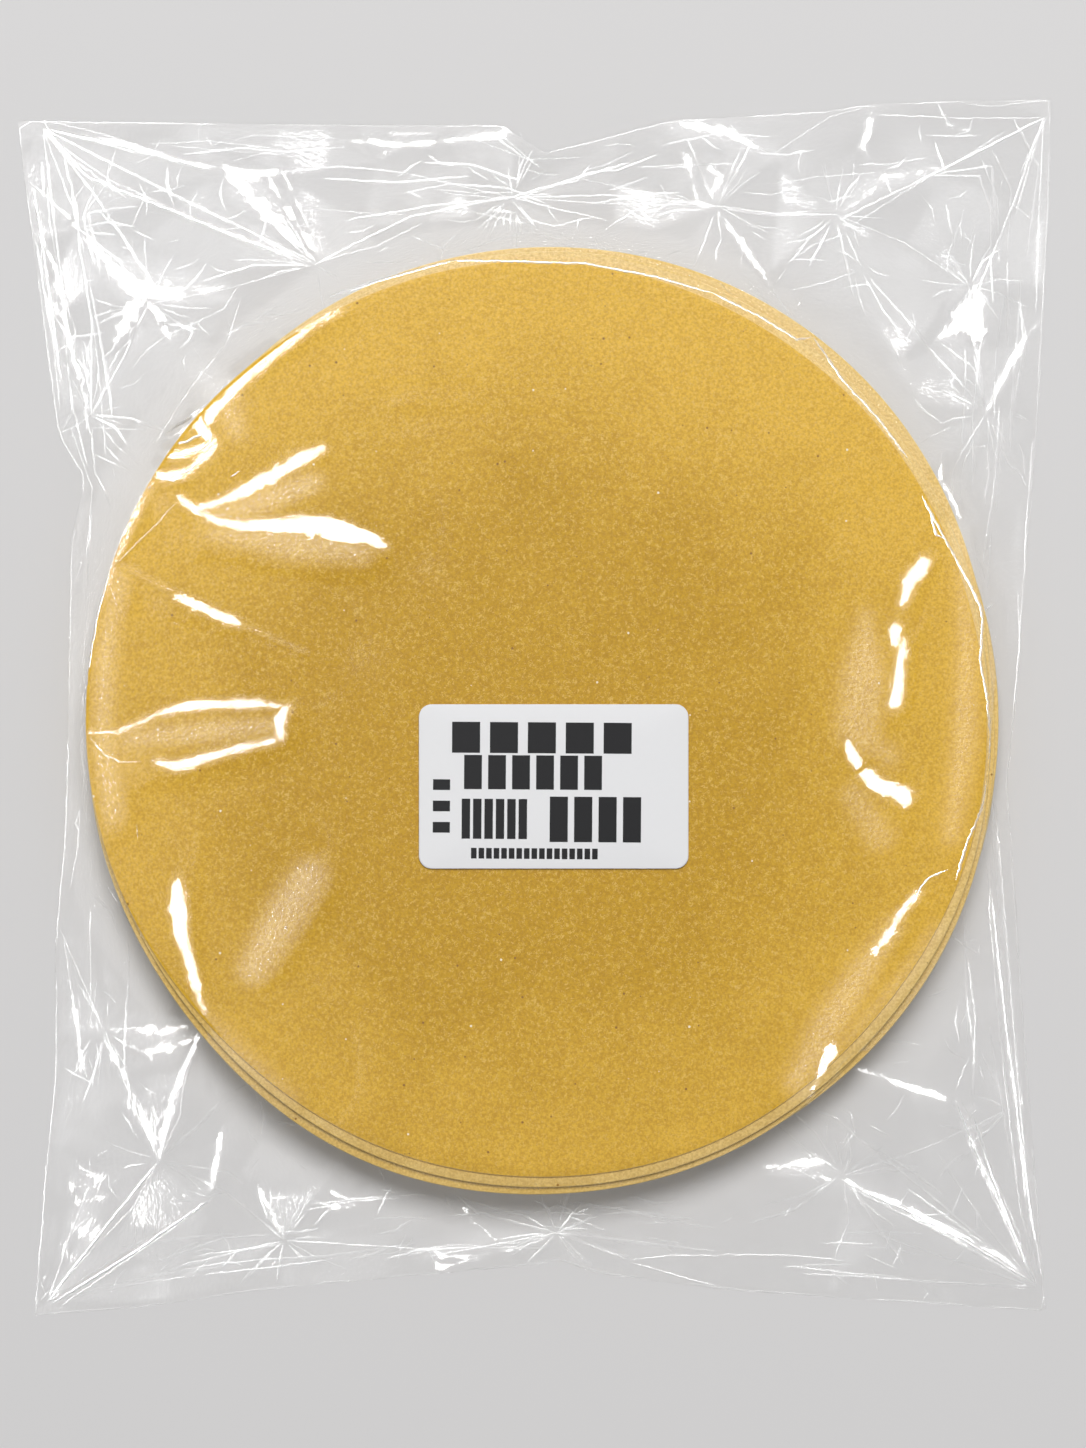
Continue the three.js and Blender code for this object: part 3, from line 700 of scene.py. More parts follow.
def mirror_slope(place, azimuth):
    """Slope of the film that mirrors a strip lamp into the camera. The normal lies half way between
    the directions to the two, and slope = -normal_x / normal_z, -normal_y / normal_z."""
    to_lamp = strip_point(azimuth) - place
    to_camera = np.array([*CAMERA_CENTRE, CAMERA_HEIGHT]) - place
    normal = sum(way / np.linalg.norm(way, axis=-1, keepdims=True) for way in (to_lamp, to_camera))
    return -normal[..., 0] / normal[..., 2], -normal[..., 1] / normal[..., 2]


weight = np.zeros_like(front)
lean_x = np.zeros_like(front)
lean_y = np.zeros_like(front)
STROKE_REACH = 10.0
EDGE_OVER_STACK = 2.5
SPREAD_OVER_STACK = 1.3
EDGE_IN_MARGIN = 0.7
SHARE_IN_MARGIN = 0.95
RAGGED_OVER_STACK = 0.14
RAGGED_IN_MARGIN = 0.34
RAGGED_SPREAD = 0.45
ragged = soften(np.random.default_rng(8).normal(size=front.shape), RAGGED_SPREAD)
ragged = ragged / ragged.std()
arc_low = min(STRIP_AZIMUTHS) - STRIP_REACH


def draw_stretch(start, end, start_way, end_way, hazy):
    """One straight stretch of a stroke: weight falls from 1 to 0 across its side, and the film below
    leans towards the lamp that stands square to the stroke."""
    low = np.minimum(start[:2], end[:2]) - STROKE_REACH
    high = np.maximum(start[:2], end[:2]) + STROKE_REACH
    rows = slice(*np.searchsorted(lattice_y, [low[1], high[1]]))
    columns = slice(*np.searchsorted(lattice_x, [low[0], high[0]]))
    x, y = X[rows, columns], Y[rows, columns]
    run = end[:2] - start[:2]
    share = np.clip(((x - start[0]) * run[0] + (y - start[1]) * run[1]) / (run @ run), 0, 1)
    off = np.hypot(x - start[0] - share * run[0], y - start[1] - share * run[1])
    width = start[2] + share * (end[2] - start[2])
    over_stack = REACH[rows, columns] < rim[rows, columns]
    if hazy:
        here = smooth_step((width / 2 - off) / GLOW_EDGE + 0.5)
    else:
        width = np.where(over_stack, width + SPREAD_OVER_STACK, SHARE_IN_MARGIN * width)
        rough = np.where(over_stack, RAGGED_OVER_STACK, RAGGED_IN_MARGIN) * ragged[rows, columns]
        width = width * np.clip(1 + rough, 0, 2)
        border = np.where(over_stack, EDGE_OVER_STACK, EDGE_IN_MARGIN)
        here = smooth_step((width / 2 - off) / border + 0.5)
    way = start_way + share[..., None] * (end_way - start_way)
    across = np.degrees(np.arctan2(way[..., 0], -way[..., 1]))
    azimuth = arc_low + (across - arc_low) % 180
    place = np.stack([x, y, front[rows, columns]], -1)
    slope_x, slope_y = mirror_slope(place, azimuth)
    lean_share = GLOW_LEAN if hazy else 1
    stronger = here > weight[rows, columns]
    drawn = ((weight, here), (lean_x, lean_share * slope_x), (lean_y, lean_share * slope_y))
    for lattice, value in drawn:
        lattice[rows, columns] = np.where(stronger, value, lattice[rows, columns])


def draw_stroke(stroke, hazy=False):
    """All stretches of a stroke, with its direction turning evenly from one to the next."""
    places = np.array(stroke)
    runs = np.diff(places[:, :2], axis=0)
    runs = runs / np.linalg.norm(runs, axis=1, keepdims=True)
    ways = np.vstack([runs[:1], (runs[:-1] + runs[1:]) / 2, runs[-1:]])
    for index in range(len(runs)):
        draw_stretch(places[index], places[index + 1], ways[index], ways[index + 1], hazy)


for stroke in GLOWS:
    draw_stroke(stroke, hazy=True)
haze = weight.copy()
weight = GLOW_WEIGHT * weight
for stroke in FLASHES:
    draw_stroke(stroke)
haze = haze * np.where(weight > GLOW_WEIGHT * haze, 1 - weight, 1)
print(len(FLASHES), "flashes over", round(weight.sum() * STEP ** 2), "square mm")

# %% [markdown]
# ## Leaning film
# The strokes only say how the film should slope. No real surface has just those slopes, so the
# height that comes nearest is found by dividing by the wave numbers in frequency space. This is
# done again and again, each time with the film lifted off the stack and with every place between
# the strokes held back from leaning far enough to flash by chance.

# %% Lean the film under the strokes
ROUNDS = 80
SPREAD = 12.0
CLEARANCE = 0.07
EDGE_FADE = 6.0
STRETCH = 1.7
AIM_EVERY = 6
LIT_WITHIN = 25.0
wave_x = 2j * math.pi * np.fft.rfftfreq(LATTICE_COUNTS[0], STEP)[None, :]
wave_y = 2j * math.pi * np.fft.fftfreq(LATTICE_COUNTS[1], STEP)[:, None]
lowest = np.where(REACH < rim, STACK_TOP + 0.1, back + SEAL_GAP)
to_edge = outline_radius(ANGLE) - REACH
free = (to_edge > 0.5) & ((beyond == 0) | (beyond > drop + 0.3))


def slopes_of(height):
    """Slopes along x and y of a lattice, by multiplying with the wave numbers."""
    waves = np.fft.rfft2(height)
    return np.fft.irfft2(wave_x * waves, height.shape), np.fft.irfft2(wave_y * waves, height.shape)


def height_from(slope_x, slope_y):
    """Height whose slopes come nearest to those given, and that dies away beyond the spread."""
    pull = -(wave_x * np.fft.rfft2(slope_x) + wave_y * np.fft.rfft2(slope_y))
    return np.fft.irfft2(pull / (-wave_x ** 2 - wave_y ** 2 + 1 / SPREAD ** 2), slope_x.shape)


def tilt_of(slope_x, slope_y):
    """How steep the film is, and the azimuth it faces, counted on from 90 degrees before the lamps."""
    facing = np.degrees(np.arctan2(-slope_y, -slope_x))
    return np.hypot(slope_x, slope_y), arc_low - 90 + (facing - arc_low + 90) % 360


front_x, front_y = slopes_of(front)
place = np.stack([X, Y, front], -1)
rise = np.zeros_like(front)
for turn in range(ROUNDS):
    rise_x, rise_y = slopes_of(rise)
    total_x, total_y = front_x + rise_x, front_y + rise_y
    steep, facing = tilt_of(total_x, total_y)
    if turn % AIM_EVERY == 0:
        nearest = np.clip(facing, arc_low, arc_low + 180)
        limit = np.hypot(*mirror_slope(place, nearest)) - CLEARANCE
    lit = free & (np.abs(facing - nearest) < LIT_WITHIN) & (steep > limit)
    less = np.where(lit, limit / np.maximum(steep, 0.01), 1)
    calm = (1 - weight) * (less - 1)
    want_x = total_x + STRETCH * weight * (lean_x - total_x) + calm * total_x - front_x
    want_y = total_y + STRETCH * weight * (lean_y - total_y) + calm * total_y - front_y
    rise = np.maximum(height_from(want_x, want_y), lowest - front)
rise = rise * smooth_step(to_edge / EDGE_FADE)
front = front + soften(rise, 0.25)
now_x, now_y = slopes_of(front)
miss = np.hypot(now_x - lean_x, now_y - lean_y)[weight > 0.9]
print("lean within 0.04 on", round(float((miss < 0.04).mean()), 2), "of the strokes")

# %% [markdown]
# ## Facets
# Stiff film crumples into flat facets with sharp borders, some clear and some a little milky. Their
# borders are finer than the cells of the mesh, so they are given to the shading alone: each facet
# adds one slope to the normals of the film. The same step holds back the slope that is shown
# outside the strokes, so that the rest of the film stays clear.


# %% Flat facets of the margin
BAG_CORNERS = [(-94, 109), (96.4, 111.5), (96, -109.8), (-92, -112.4)]
BESIDE_STACK = [(-88, 22), (-86, -24), (89, 20), (88, -30), (-30, 103), (30, -104), (74, -96), (-20, 92)]
SECTORS = 11
BANDS = (11.0, 24.0)
FACET_LEAN = (0.02, 0.24)
FACET_HAZE = 0.45
FACET_EDGE = 0.25
SLACK_SHARE = 0.4
SHOWN_AT_DROP = 0.08
SHOWN_UNDER = 0.1
TURNED_AWAY = (20.0, 30.0)


def facets():
    """Slopes and haze of flat facets. Each lattice point belongs to the nearest pinched place, there
    to a sector of azimuth and a band of distance, and all points of one facet share one slope. It
    runs square to the sector's middle line, to one side and the other in turn."""
    draw = np.random.default_rng(5)
    origins = np.array([one[:2] for one in PINCHES] + BAG_CORNERS + BESIDE_STACK)
    off_x, off_y = (lattice[..., None] - row for lattice, row in ((X, origins[:, 0]), (Y, origins[:, 1])))
    nearest = np.argmin(np.hypot(off_x, off_y), -1)
    x, y = X - origins[nearest, 0], Y - origins[nearest, 1]
    borders = np.sort(draw.uniform(0, 360, (len(origins), SECTORS)), 1)
    sector = (np.degrees(np.arctan2(y, x))[..., None] % 360 > borders[nearest]).sum(-1) % SECTORS
    bands = np.array(BANDS) * draw.uniform(0.7, 1.3, (len(origins), 1))
    band = (np.hypot(x, y)[..., None] > bands[nearest]).sum(-1)
    middles = np.radians((borders + np.roll(borders, 1, axis=1)) / 2)
    middles[:, 0] += math.pi
    way = middles[nearest, sector]
    shape = (len(origins), SECTORS, len(BANDS) + 1)
    leans = draw.uniform(*FACET_LEAN, shape) * (1 - 2 * (np.arange(SECTORS) % 2))[:, None]
    lean = leans[nearest, sector, band]
    milk = FACET_HAZE * draw.uniform(0, 1, shape)[nearest, sector, band] ** 2
    share = smooth_step((beyond - drop) / 3) * smooth_step(to_edge / 2)
    parts = (-lean * np.sin(way), lean * np.cos(way), milk)
    return [soften(share * part, FACET_EDGE) for part in parts] + [1 - (1 - SLACK_SHARE) * share]


facet_x, facet_y, facet_haze, slack_share = facets()
now_x, now_y = slack_share * now_x + facet_x, slack_share * now_y + facet_y
haze = np.maximum(haze, (1 - weight) * facet_haze)
steep, facing = tilt_of(now_x, now_y)
unlit = np.where(beyond < drop + 2, SHOWN_AT_DROP, limit - SHOWN_UNDER)
off_lamps = np.abs(facing - np.clip(facing, arc_low, arc_low + 180))
turned_away = smooth_step((off_lamps - TURNED_AWAY[0]) / (TURNED_AWAY[1] - TURNED_AWAY[0]))
shown = np.minimum(1, unlit / np.maximum(steep, 0.01))
shown = shown + turned_away * (1 - shown)
shown_x = (1 - weight) * shown * now_x + weight * lean_x
shown_y = (1 - weight) * shown * now_y + weight * lean_y
print("haze on", round(float((haze > 0.1).mean()), 2), "of the lattice")


def sample(height, x, y):
    """Height at any places, weighted between the four lattice points round each."""
    column = np.clip((x - lattice_x[0]) / STEP, 0, len(lattice_x) - 1.001)
    row = np.clip((y - lattice_y[0]) / STEP, 0, len(lattice_y) - 1.001)
    i, j = row.astype(int), column.astype(int)
    up, across = row - i, column - j
    low = height[i, j] * (1 - across) + height[i, j + 1] * across
    high = height[i + 1, j] * (1 - across) + height[i + 1, j + 1] * across
    return low * (1 - up) + high * up


# %% [markdown]
# ## Film material
# Clear film lets nearly all light through and mirrors about a twentieth of it. The mix of a
# Transparent and a Glossy shader by Fresnel does that without bending light, which a film far
# thinner than the fold does not do. Most of its gloss is sharp and a little is hazy. Where the mesh
# attribute named haze says that the film is rubbed, more of it is hazy and its wrinkles are stronger.
# The bag casts no shadow, as the light that film mirrors away reaches the table by other ways.


# %% Film material
FILM_INDEX = 1.55


def clear_film():
    """Clear film with a sharp and a hazy gloss, mixed by the haze of the mesh."""
    material, output = new_material("clear_film")
    place = node(material, "TexCoord").outputs["Object"]
    crinkle = node(material, "TexNoise", {
        "Vector": place, "Scale": 1500.0, "Detail": 1.5, "Roughness": 0.6})
    rubbed = node(material, "Attribute", attribute_name="haze").outputs["Fac"]
    wrinkled = between(material, rubbed, 0.2, 0.8, 0.25, 0.65)
    bump = node(material, "Bump", {
        "Height": crinkle.outputs["Fac"], "Strength": wrinkled, "Distance": 0.0002})
    normal = bump.outputs["Normal"]
    sharp = node(material, "BsdfAnisotropic", {"Roughness": 0.04, "Normal": normal})
    hazy = node(material, "BsdfAnisotropic", {"Roughness": 0.45, "Normal": normal})
    hazy_share = between(material, rubbed, 0.0, 1.0, 0.1, 0.85, "LINEAR")
    gloss = node(material, "MixShader", {
        "Fac": hazy_share, 1: sharp.outputs["BSDF"], 2: hazy.outputs["BSDF"]})
    clear = node(material, "BsdfTransparent", {"Color": (0.995, 0.994, 0.992, 1)})
    inside = node(material, "NewGeometry").outputs["Backfacing"]
    index = between(material, inside, 0.0, 1.0, FILM_INDEX, 1 / FILM_INDEX, "LINEAR")
    fresnel = node(material, "Fresnel", {"IOR": index, "Normal": normal})
    film_mix = node(material, "MixShader", {
        "Fac": fresnel.outputs["Fac"], 1: clear.outputs["BSDF"], 2: gloss.outputs["Shader"]})
    material.node_tree.links.new(film_mix.outputs["Shader"], output.inputs["Surface"])
    return material


# %% [markdown]
# ## The bag
# The film is one closed surface: rings run from the middle of the front out to the edge and back
# under the stack. Its height and its normals are read off the lattice. The normals come from the
# slopes that were planned, not from the faces, so a flash is as smooth and as exact as its stroke.

# %% Film mesh
AROUND = 770
EDGE_ROUNDING = 0.06
SHOWN_ON_BACK = 0.1


def film_rings():
    """Rings over the front from the middle to the edge, then back under the rear film. Rings over
    the stack follow the rim of the top papad, and those of the margin go over to the outline."""
    direction = walk_along(closed_outline, AROUND + 1)[:-1] - STACK_CENTRE
    far = np.hypot(*direction.T)
    direction = direction / far[:, None]
    angle = np.arctan2(direction[:, 1], direction[:, 0])
    near = rim_radius(angle, 0)
    over = np.concatenate([np.linspace(0.06, 0.42, 4), np.linspace(0.46, 1.0, 60)])
    front_reaches = [near * part for part in over]
    front_reaches += [near + (far - near) * part for part in np.linspace(0, 1, 53)[1:-1]]
    front_reaches += [far - EDGE_ROUNDING, far]
    back_reaches = [far - EDGE_ROUNDING]
    back_reaches += [near + (far - near) * part for part in (0.93, 0.82, 0.7, 0.58, 0.46, 0.34, 0.22, 0.1)]
    back_reaches += [near * part for part in (1.0, 0.6, 0.2)]
    rings, normals = [], []
    back_x, back_y = slopes_of(back)
    gentle = np.minimum(1, SHOWN_ON_BACK / np.maximum(np.hypot(back_x, back_y), 0.01))
    back_slopes = (-gentle * back_x, -gentle * back_y)
    for reaches, height, slopes, up in ((front_reaches, front, (shown_x, shown_y), 1),
                                        (back_reaches, back, back_slopes, -1)):
        reaches = np.array(reaches)[..., None]
        place = STACK_CENTRE + direction * reaches
        x, y = place[..., 0], place[..., 1]
        rings.append(np.dstack([place, sample(height, x, y)]))
        leans = [-sample(slope, x, y) for slope in slopes]
        normals.append(np.dstack([*leans, np.full_like(x, up)]))
    rings, normals = np.concatenate(rings), np.concatenate(normals)
    rings[len(front_reaches) - 1, :, 2] = edge_height(angle)
    normals[len(front_reaches) - 1] = np.column_stack([direction, np.zeros(len(angle))])
    hazes = sample(haze, rings[..., 0], rings[..., 1])
    hazes[len(front_reaches):] = 0
    return rings, normals / np.linalg.norm(normals, axis=-1, keepdims=True), hazes.ravel()


film = clear_film()
film_points, film_normals, film_hazes = film_rings()
bag = closed_rings("bag_film", film_points, film, film_normals)
haze_values = np.append(film_hazes, [0.0, 0.0])
bag.data.attributes.new("haze", "FLOAT", "POINT").data.foreach_set("value", haze_values)
bag.visible_shadow = False
bag.visible_diffuse = False
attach(bag, "root")
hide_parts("bag")
print("film", len(bag.data.polygons), "faces")

# %% [markdown]
# ## Creases
# Where stiff film has been folded sharply it keeps a fine raised line that is a little milky and
# catches light from many sides. Each crease is a narrow strip that follows the film, arched across
# its width: height = film + lift * (1 - u squared), with u from -1 to 1 across. Most are faint, and
# those that are pulled tight round the rim or out to a corner are brighter.

# %% Creases of the film
CREASES = [
    [(-78.6, 26.5), (-70.5, 34.5), (-66.8, 38.6)], [(-94.7, 90.2), (-90.7, 67.1), (-89.6, 55.8)],
    [(-89.8, 51.7), (-86.4, 53.2), (-83.8, 55.5)], [(-78.5, 65), (-83.2, 55.8)],
    [(-56.1, 79.3), (-58.8, 75), (-69.5, 70.1), (-73.4, 67.3), (-76, 64.1)],
    [(-55.4, 77.1), (-58.2, 68.4), (-66.5, 57.5), (-71.3, 49.4)],
    [(-93, 111.1), (-90.5, 107), (-80.7, 99.8), (-55.4, 88.2), (-43.1, 84)],
    [(-88.8, 104.7), (-77, 96.1)], [(-93, 111.1), (-81.7, 108.5), (-66.6, 103.4), (-60.1, 102.3)],
    [(-81.5, 50), (-78.1, 45.9)], [(-83.2, 47.8), (-75.7, 44.2)], [(-83.8, 52.8), (-73.2, 52.3)],
    [(-83.8, 51.1), (-83, 44.2), (-79.8, 38)], [(-62.3, 108.1), (-61, 106.2), (-58.8, 107.3)],
    [(-56.7, 107.2), (-53.5, 108.1), (-37.1, 107.7)], [(-2.9, 108.9), (-2.2, 107.5)],
    [(-5, 102.1), (-4.2, 96.6)], [(-17.4, 97.2), (-4.4, 95.9)], [(-3.5, 96.3), (2.7, 98.1), (7.6, 100.4)],
    [(-2, 101.9), (1, 100.8), (5.2, 100.6)], [(8.2, 100), (33.4, 94.8)],
    [(8.6, 101.3), (13.3, 102.5), (18.7, 105.1)], [(-9.1, 94.6), (-2.9, 93.2)],
    [(-11.6, 93.6), (-0.5, 91.2)], [(-4.2, 95.7), (-0.3, 91.6)], [(-23, 89.1), (-15.7, 85.5)],
    [(-14.2, 85.2), (-7.6, 88), (-1, 89.7)], [(-0.5, 89.5), (16.3, 85.9), (21.9, 85.7)],
    [(-32.4, 84), (-24.5, 83.7)], [(35.2, 94.2), (45.4, 92.9), (56.7, 93.2)],
    [(36.8, 108.3), (44.6, 104.7)], [(45.4, 104.7), (55.9, 111.7), (63.6, 113.6)],
    [(60.6, 103.4), (60.1, 99.6)], [(60.6, 91.4), (76.6, 101.5)], [(78.9, 102.5), (89, 108.9)],
    [(76, 114.3), (79.4, 109.2)], [(79.4, 108.1), (82.2, 108.9), (83.2, 112)],
    [(81.3, 114.1), (87.1, 113.6), (97.3, 114.9)], [(97.3, 112.2), (91.7, 100.6)],
    [(76.8, 69), (83, 64.1), (85.4, 56.8)], [(63.1, 81.4), (84.9, 56.2)],
    [(62.1, 81.8), (66.1, 74.6), (69.7, 69.9)], [(58.8, 89.7), (61.8, 83.3)],
    [(60.6, 82.2), (55, 80.1), (48.2, 78.6)], [(58.6, 89.5), (52.5, 87.2), (48.8, 84.6)],
    [(44.8, 79), (48.6, 73.1)], [(45.4, 79.9), (47.3, 82.5)], [(51, 71.3), (53.9, 70.1)],
    [(90.5, 55.1), (93, 54.1)], [(94.3, 51.1), (92.6, 27.6)], [(91.3, 22), (91.7, 12.6), (90.5, -0.9)],
    [(-83.4, -5.6), (-80.7, -9), (-77.5, -10.3), (-73.8, -10.3)], [(-74.5, -22), (-74.4, -25.2)],
    [(-80.2, -33.7), (-77.5, -37.8)], [(-83.4, -35.3), (-79.6, -38.5), (-78.1, -43.1)],
    [(-89.6, -41.9), (-81.7, -60.5)], [(-89, -42.9), (-85.8, -66.7), (-84.5, -70.3)],
    [(-82.8, -51.9), (-83.2, -56.2)], [(-63.5, -62.6), (-66.3, -72.2), (-66.8, -77.3), (-70.4, -84.6)],
    [(-71.3, -86.3), (-75.7, -94.4), (-88.6, -108.1)], [(-87, -90.4), (-86.4, -92.7)],
    [(-80, -89.9), (-78.3, -88.9)], [(-61, -92.9), (-66.8, -97.6), (-90, -113.6)],
    [(-60.6, -91.9), (-59.3, -81.8)], [(-46.9, -101), (-21.5, -102.5)],
    [(-47.8, -101.1), (-67.4, -105.8)], [(-58, -104.7), (-54.8, -106)],
    [(-93.5, -108.1), (-92.4, -111.5)], [(-94.1, -113), (-91.1, -109.6)],
    [(-21.1, -102.5), (-28.9, -104.7)], [(-20, -102.8), (-17.8, -107.2)],
    [(-15.5, -92.1), (-6.5, -95.3), (-0.3, -96.6)], [(-17.2, -91.4), (-15.7, -95.1)],
    [(4.4, -99.8), (8.2, -105.1)], [(4.8, -99.8), (10.1, -105.5)], [(3.7, -100), (-1.4, -105.3)],
    [(0.7, -95.5), (4.8, -94.2), (8.2, -96.1)], [(7.6, -95.9), (10.2, -94.9)],
    [(6.3, -96.3), (13.6, -99.1)], [(5.7, -98.9), (10.4, -98.7)], [(8.7, -101.3), (17.6, -104.5)],
    [(18.3, -105.1), (35.6, -110)], [(18.1, -104.7), (25.5, -103.8), (34.9, -103.8)],
    [(79.6, -72.4), (82.2, -66.2)], [(79.6, -75.8), (85.3, -87.4), (91.5, -102.5)],
    [(80.6, -74.3), (93.2, -103)],
    [(52, -75.6), (57.1, -77.6), (61.6, -81.8), (71, -87.4), (77.4, -92.3)], [(62.9, -78.8), (67.4, -81)],
    [(58.9, -90.1), (63.5, -94.8), (68.3, -98.3)], [(54.2, -101.5), (63.8, -101.5)],
    [(34.9, -103.6), (48, -103.8), (58.6, -104.9)], [(62.9, -103.8), (68.2, -106)],
    [(50.7, -107.3), (72.7, -108.5)], [(72.7, -108.5), (92.8, -109.8)],
    [(73, -109), (74.4, -110.9), (73.4, -112.4)],
    [(86.8, -16.9), (86, -37.6), (88.1, -62.6), (92, -95.5), (95.8, -108.1)],
    [(87.1, -18), (93.2, -90.8), (96.2, -108.5)],
]
# Brighter ones, where the film is pulled round the rim of the stack or curls over it
BRIGHT_CREASES = [
    [(-69.1, 51.7), (-64.8, 54.2), (-62.7, 56.2)],
    [(-68.3, 49.3), (-65.5, 49.6), (-62.3, 51.1), (-61.4, 52.5)],
    [(-69.1, 47.2), (-66.3, 47.2), (-62.7, 48.3), (-60.3, 50.0)],
    [(-70.4, 43.4), (-68.3, 43.1), (-64.8, 44.4), (-62.3, 46.4), (-60.3, 48.9)],
    [(-70.4, 42.7), (-67.5, 42.3), (-66.6, 43.3)], [(-57, 43.1), (-55.3, 44.2)],
    [(-38.4, 77.1), (-28, 80.3), (-15.5, 83.7)], [(-15.3, 83.8), (9.3, 83.1), (22, 80.8), (33.4, 77.6)],
    [(33.4, 77.6), (42, 73.3), (49.5, 68.8), (52.2, 69.6)],
    [(52.4, 69.5), (58, 61), (64, 54.6), (70, 46.6)], [(74.1, 36.7), (75.3, 32.3), (77.2, 31.4)],
    [(72.5, 39.5), (76.2, 33), (81, 24), (84.2, 17.9)],
    [(81.8, 22.2), (83.9, 17.9), (83.9, 13.6), (83.4, 8.5), (84.8, 1.7), (85.4, -5.2)],
    [(85.4, -5.2), (85.4, -12), (83.9, -18.8), (81.3, -24.8), (78.9, -32.5)],
    [(84.4, 18.2), (86.2, 19.3)], [(77.4, -30.6), (73.8, -32), (72.1, -34.2), (71.4, -36)],
    [(-79.6, 25.6), (-82.1, 16.5), (-83.4, 8.3), (-84.6, 0.5)],
    [(80, -75.5), (84.6, -86.5), (89.4, -97), (94.8, -109)],
    [(86.4, -36), (89, -58.3), (91.6, -79), (94.6, -100.4)],
    [(62, -91.4), (70, -94.9), (81.6, -100.9), (93.5, -108.4)], [(83.2, -78), (88.5, -94), (93.6, -107)],
    [(-92.4, 109.2), (-84.5, 100.2), (-72.2, 95.3), (-59.9, 90.4), (-48.5, 85.9)],
    [(-91.6, 109.2), (-76.3, 105.8), (-61.6, 101.8)], [(-94.8, 98), (-91.6, 78), (-89.4, 62)],
    [(-71.3, -86.2), (-79, -95.6), (-91, -111)], [(-61, -93), (-76, -103.4), (-91, -112.6)],
]

# %% Sizes of the creases
CREASE_WIDTH = 0.38
CREASE_LIFT = 0.07
BRIGHT_WIDTH = 0.5
BRIGHT_LIFT = 0.09
CREASE_STEP = 0.6
SEAL_INSET = 0.3
SEAL_POINTS = 240
EDGE_POINTS = 900
NEIGHBOURS = 42.0
RAYS = 12
SCATTERED = 26
ALONG_EDGE = 130
# Long straight ones that run out from one place, as (place, their ends)
FANS = [
    ((94.7, -109.4), [(60.0, -91.0), (64.2, -99.5), (78.7, -74.3), (81.2, -78.0), (70.4, -91.0),
     (62.0, -81.6), (91.8, -74.3), (88.2, -40.0), (73.6, -108.9), (86.0, -60.0), (76.0, -84.0)]),
    ((96.4, 111.5), [(83.2, 77.4), (57.6, 92.0), (91.0, 93.0), (76.0, 101.0), (94.8, 74.0),
     (64.0, 112.0)]),
    ((-93.0, 109.5), [(-46.0, 86.0), (-60.0, 102.0), (-72.0, 80.0), (-86.0, 91.0), (-41.8, 84.2),
     (-88.0, 70.0)]),
    ((-92.0, -112.4), [(-72.0, -87.0), (-61.0, -93.0), (-48.0, -101.0), (-84.0, -90.0), (-60.0, -106.0)]),
    ((4.2, -99.6), [(-10.0, -96.0), (18.0, -104.0), (34.0, -103.0), (-20.0, -104.0), (12.0, -96.0)]),
    ((-4.2, 96.3), [(-36.0, 92.0), (30.0, 95.0), (-24.0, 101.0), (18.0, 103.0), (14.0, 92.0)]),
]
wander = np.random.default_rng(21)


# %% Strips and their finish
def crease_strip(corners, width, lift):
    """Points of one crease, shape (along, 5, 3), tapered at both ends and wandering a little."""
    corners = np.array(corners, float)
    length = np.hypot(*np.diff(corners, axis=0).T).sum()
    count = max(int(length / CREASE_STEP), 4)
    path = walk_along(corners, count)
    path = path + wander.normal(0, 0.06, path.shape)
    run = np.gradient(path, axis=0)
    side = np.stack([-run[:, 1], run[:, 0]], 1) / np.linalg.norm(run, axis=1, keepdims=True)
    share = np.linspace(0, 1, count)
    taper = np.minimum(1, np.minimum(share, 1 - share) * length / 2.5 + 0.15)
    taper = taper * wander.uniform(0.7, 1.2, count)
    u = np.linspace(-1, 1, 5)
    place = path[:, None] + side[:, None] * (u[:, None] * taper[:, None, None] * width / 2)
    height = sample(front, place[..., 0], place[..., 1]) + 0.03 + lift * taper[:, None] * (1 - u ** 2)
    return np.dstack([place, height])


def strip_faces(along, across, first):
    """Four-sided cells of a grid of points whose first point has the number first."""
    row, column = np.meshgrid(np.arange(along - 1), np.arange(across - 1), indexing="ij")
    corner = first + row * across + column
    return np.stack([corner, corner + across, corner + across + 1, corner + 1], -1).reshape(-1, 4)


def joined_strips(name, strips, material):
    """One mesh piece of many separate strips."""
    faces, first = [], 0
    for strip in strips:
        faces.append(strip_faces(*strip.shape[:2], first))
        first += strip.shape[0] * strip.shape[1]
    points = np.concatenate([strip.reshape(-1, 3) for strip in strips])
    return mesh_object(name, points, np.concatenate(faces).tolist(), material)


def milky_film(name, cover, roughness):
    """Film that is clear but for a share, cover, of glossy milky white."""
    material, output = new_material(name)
    gloss = node(material, "BsdfAnisotropic", {"Roughness": roughness})
    milk = node(material, "BsdfDiffuse", {"Color": (0.9, 0.9, 0.9, 1)})
    surface = node(material, "MixShader", {"Fac": 0.6, 1: gloss.outputs["BSDF"], 2: milk.outputs["BSDF"]})
    clear = node(material, "BsdfTransparent", {"Color": (1, 1, 1, 1)})
    whole = node(material, "MixShader", {
        "Fac": cover, 1: clear.outputs["BSDF"], 2: surface.outputs["Shader"]})
    material.node_tree.links.new(whole.outputs["Shader"], output.inputs["Surface"])
    return material


# %% [markdown]
# ## Fine lines
# Between the main creases the film is full of finer ones. They fan out from the corners, join
# neighbouring pinched points, radiate from each of them and lie scattered round them, and others
# run along the edge of the bag. Only those that lie clear of the stack and inside the edge are kept.


# %% Fine lines
def bowed(start, end, bow):
    """Three places: two ends and a middle that stands off their line by a share of its length."""
    start, end = np.array(start), np.array(end)
    run = end - start
    aside = wander.normal(0, bow) * np.array([-run[1], run[0]])
    return np.array([start, (start + end) / 2 + aside, end])


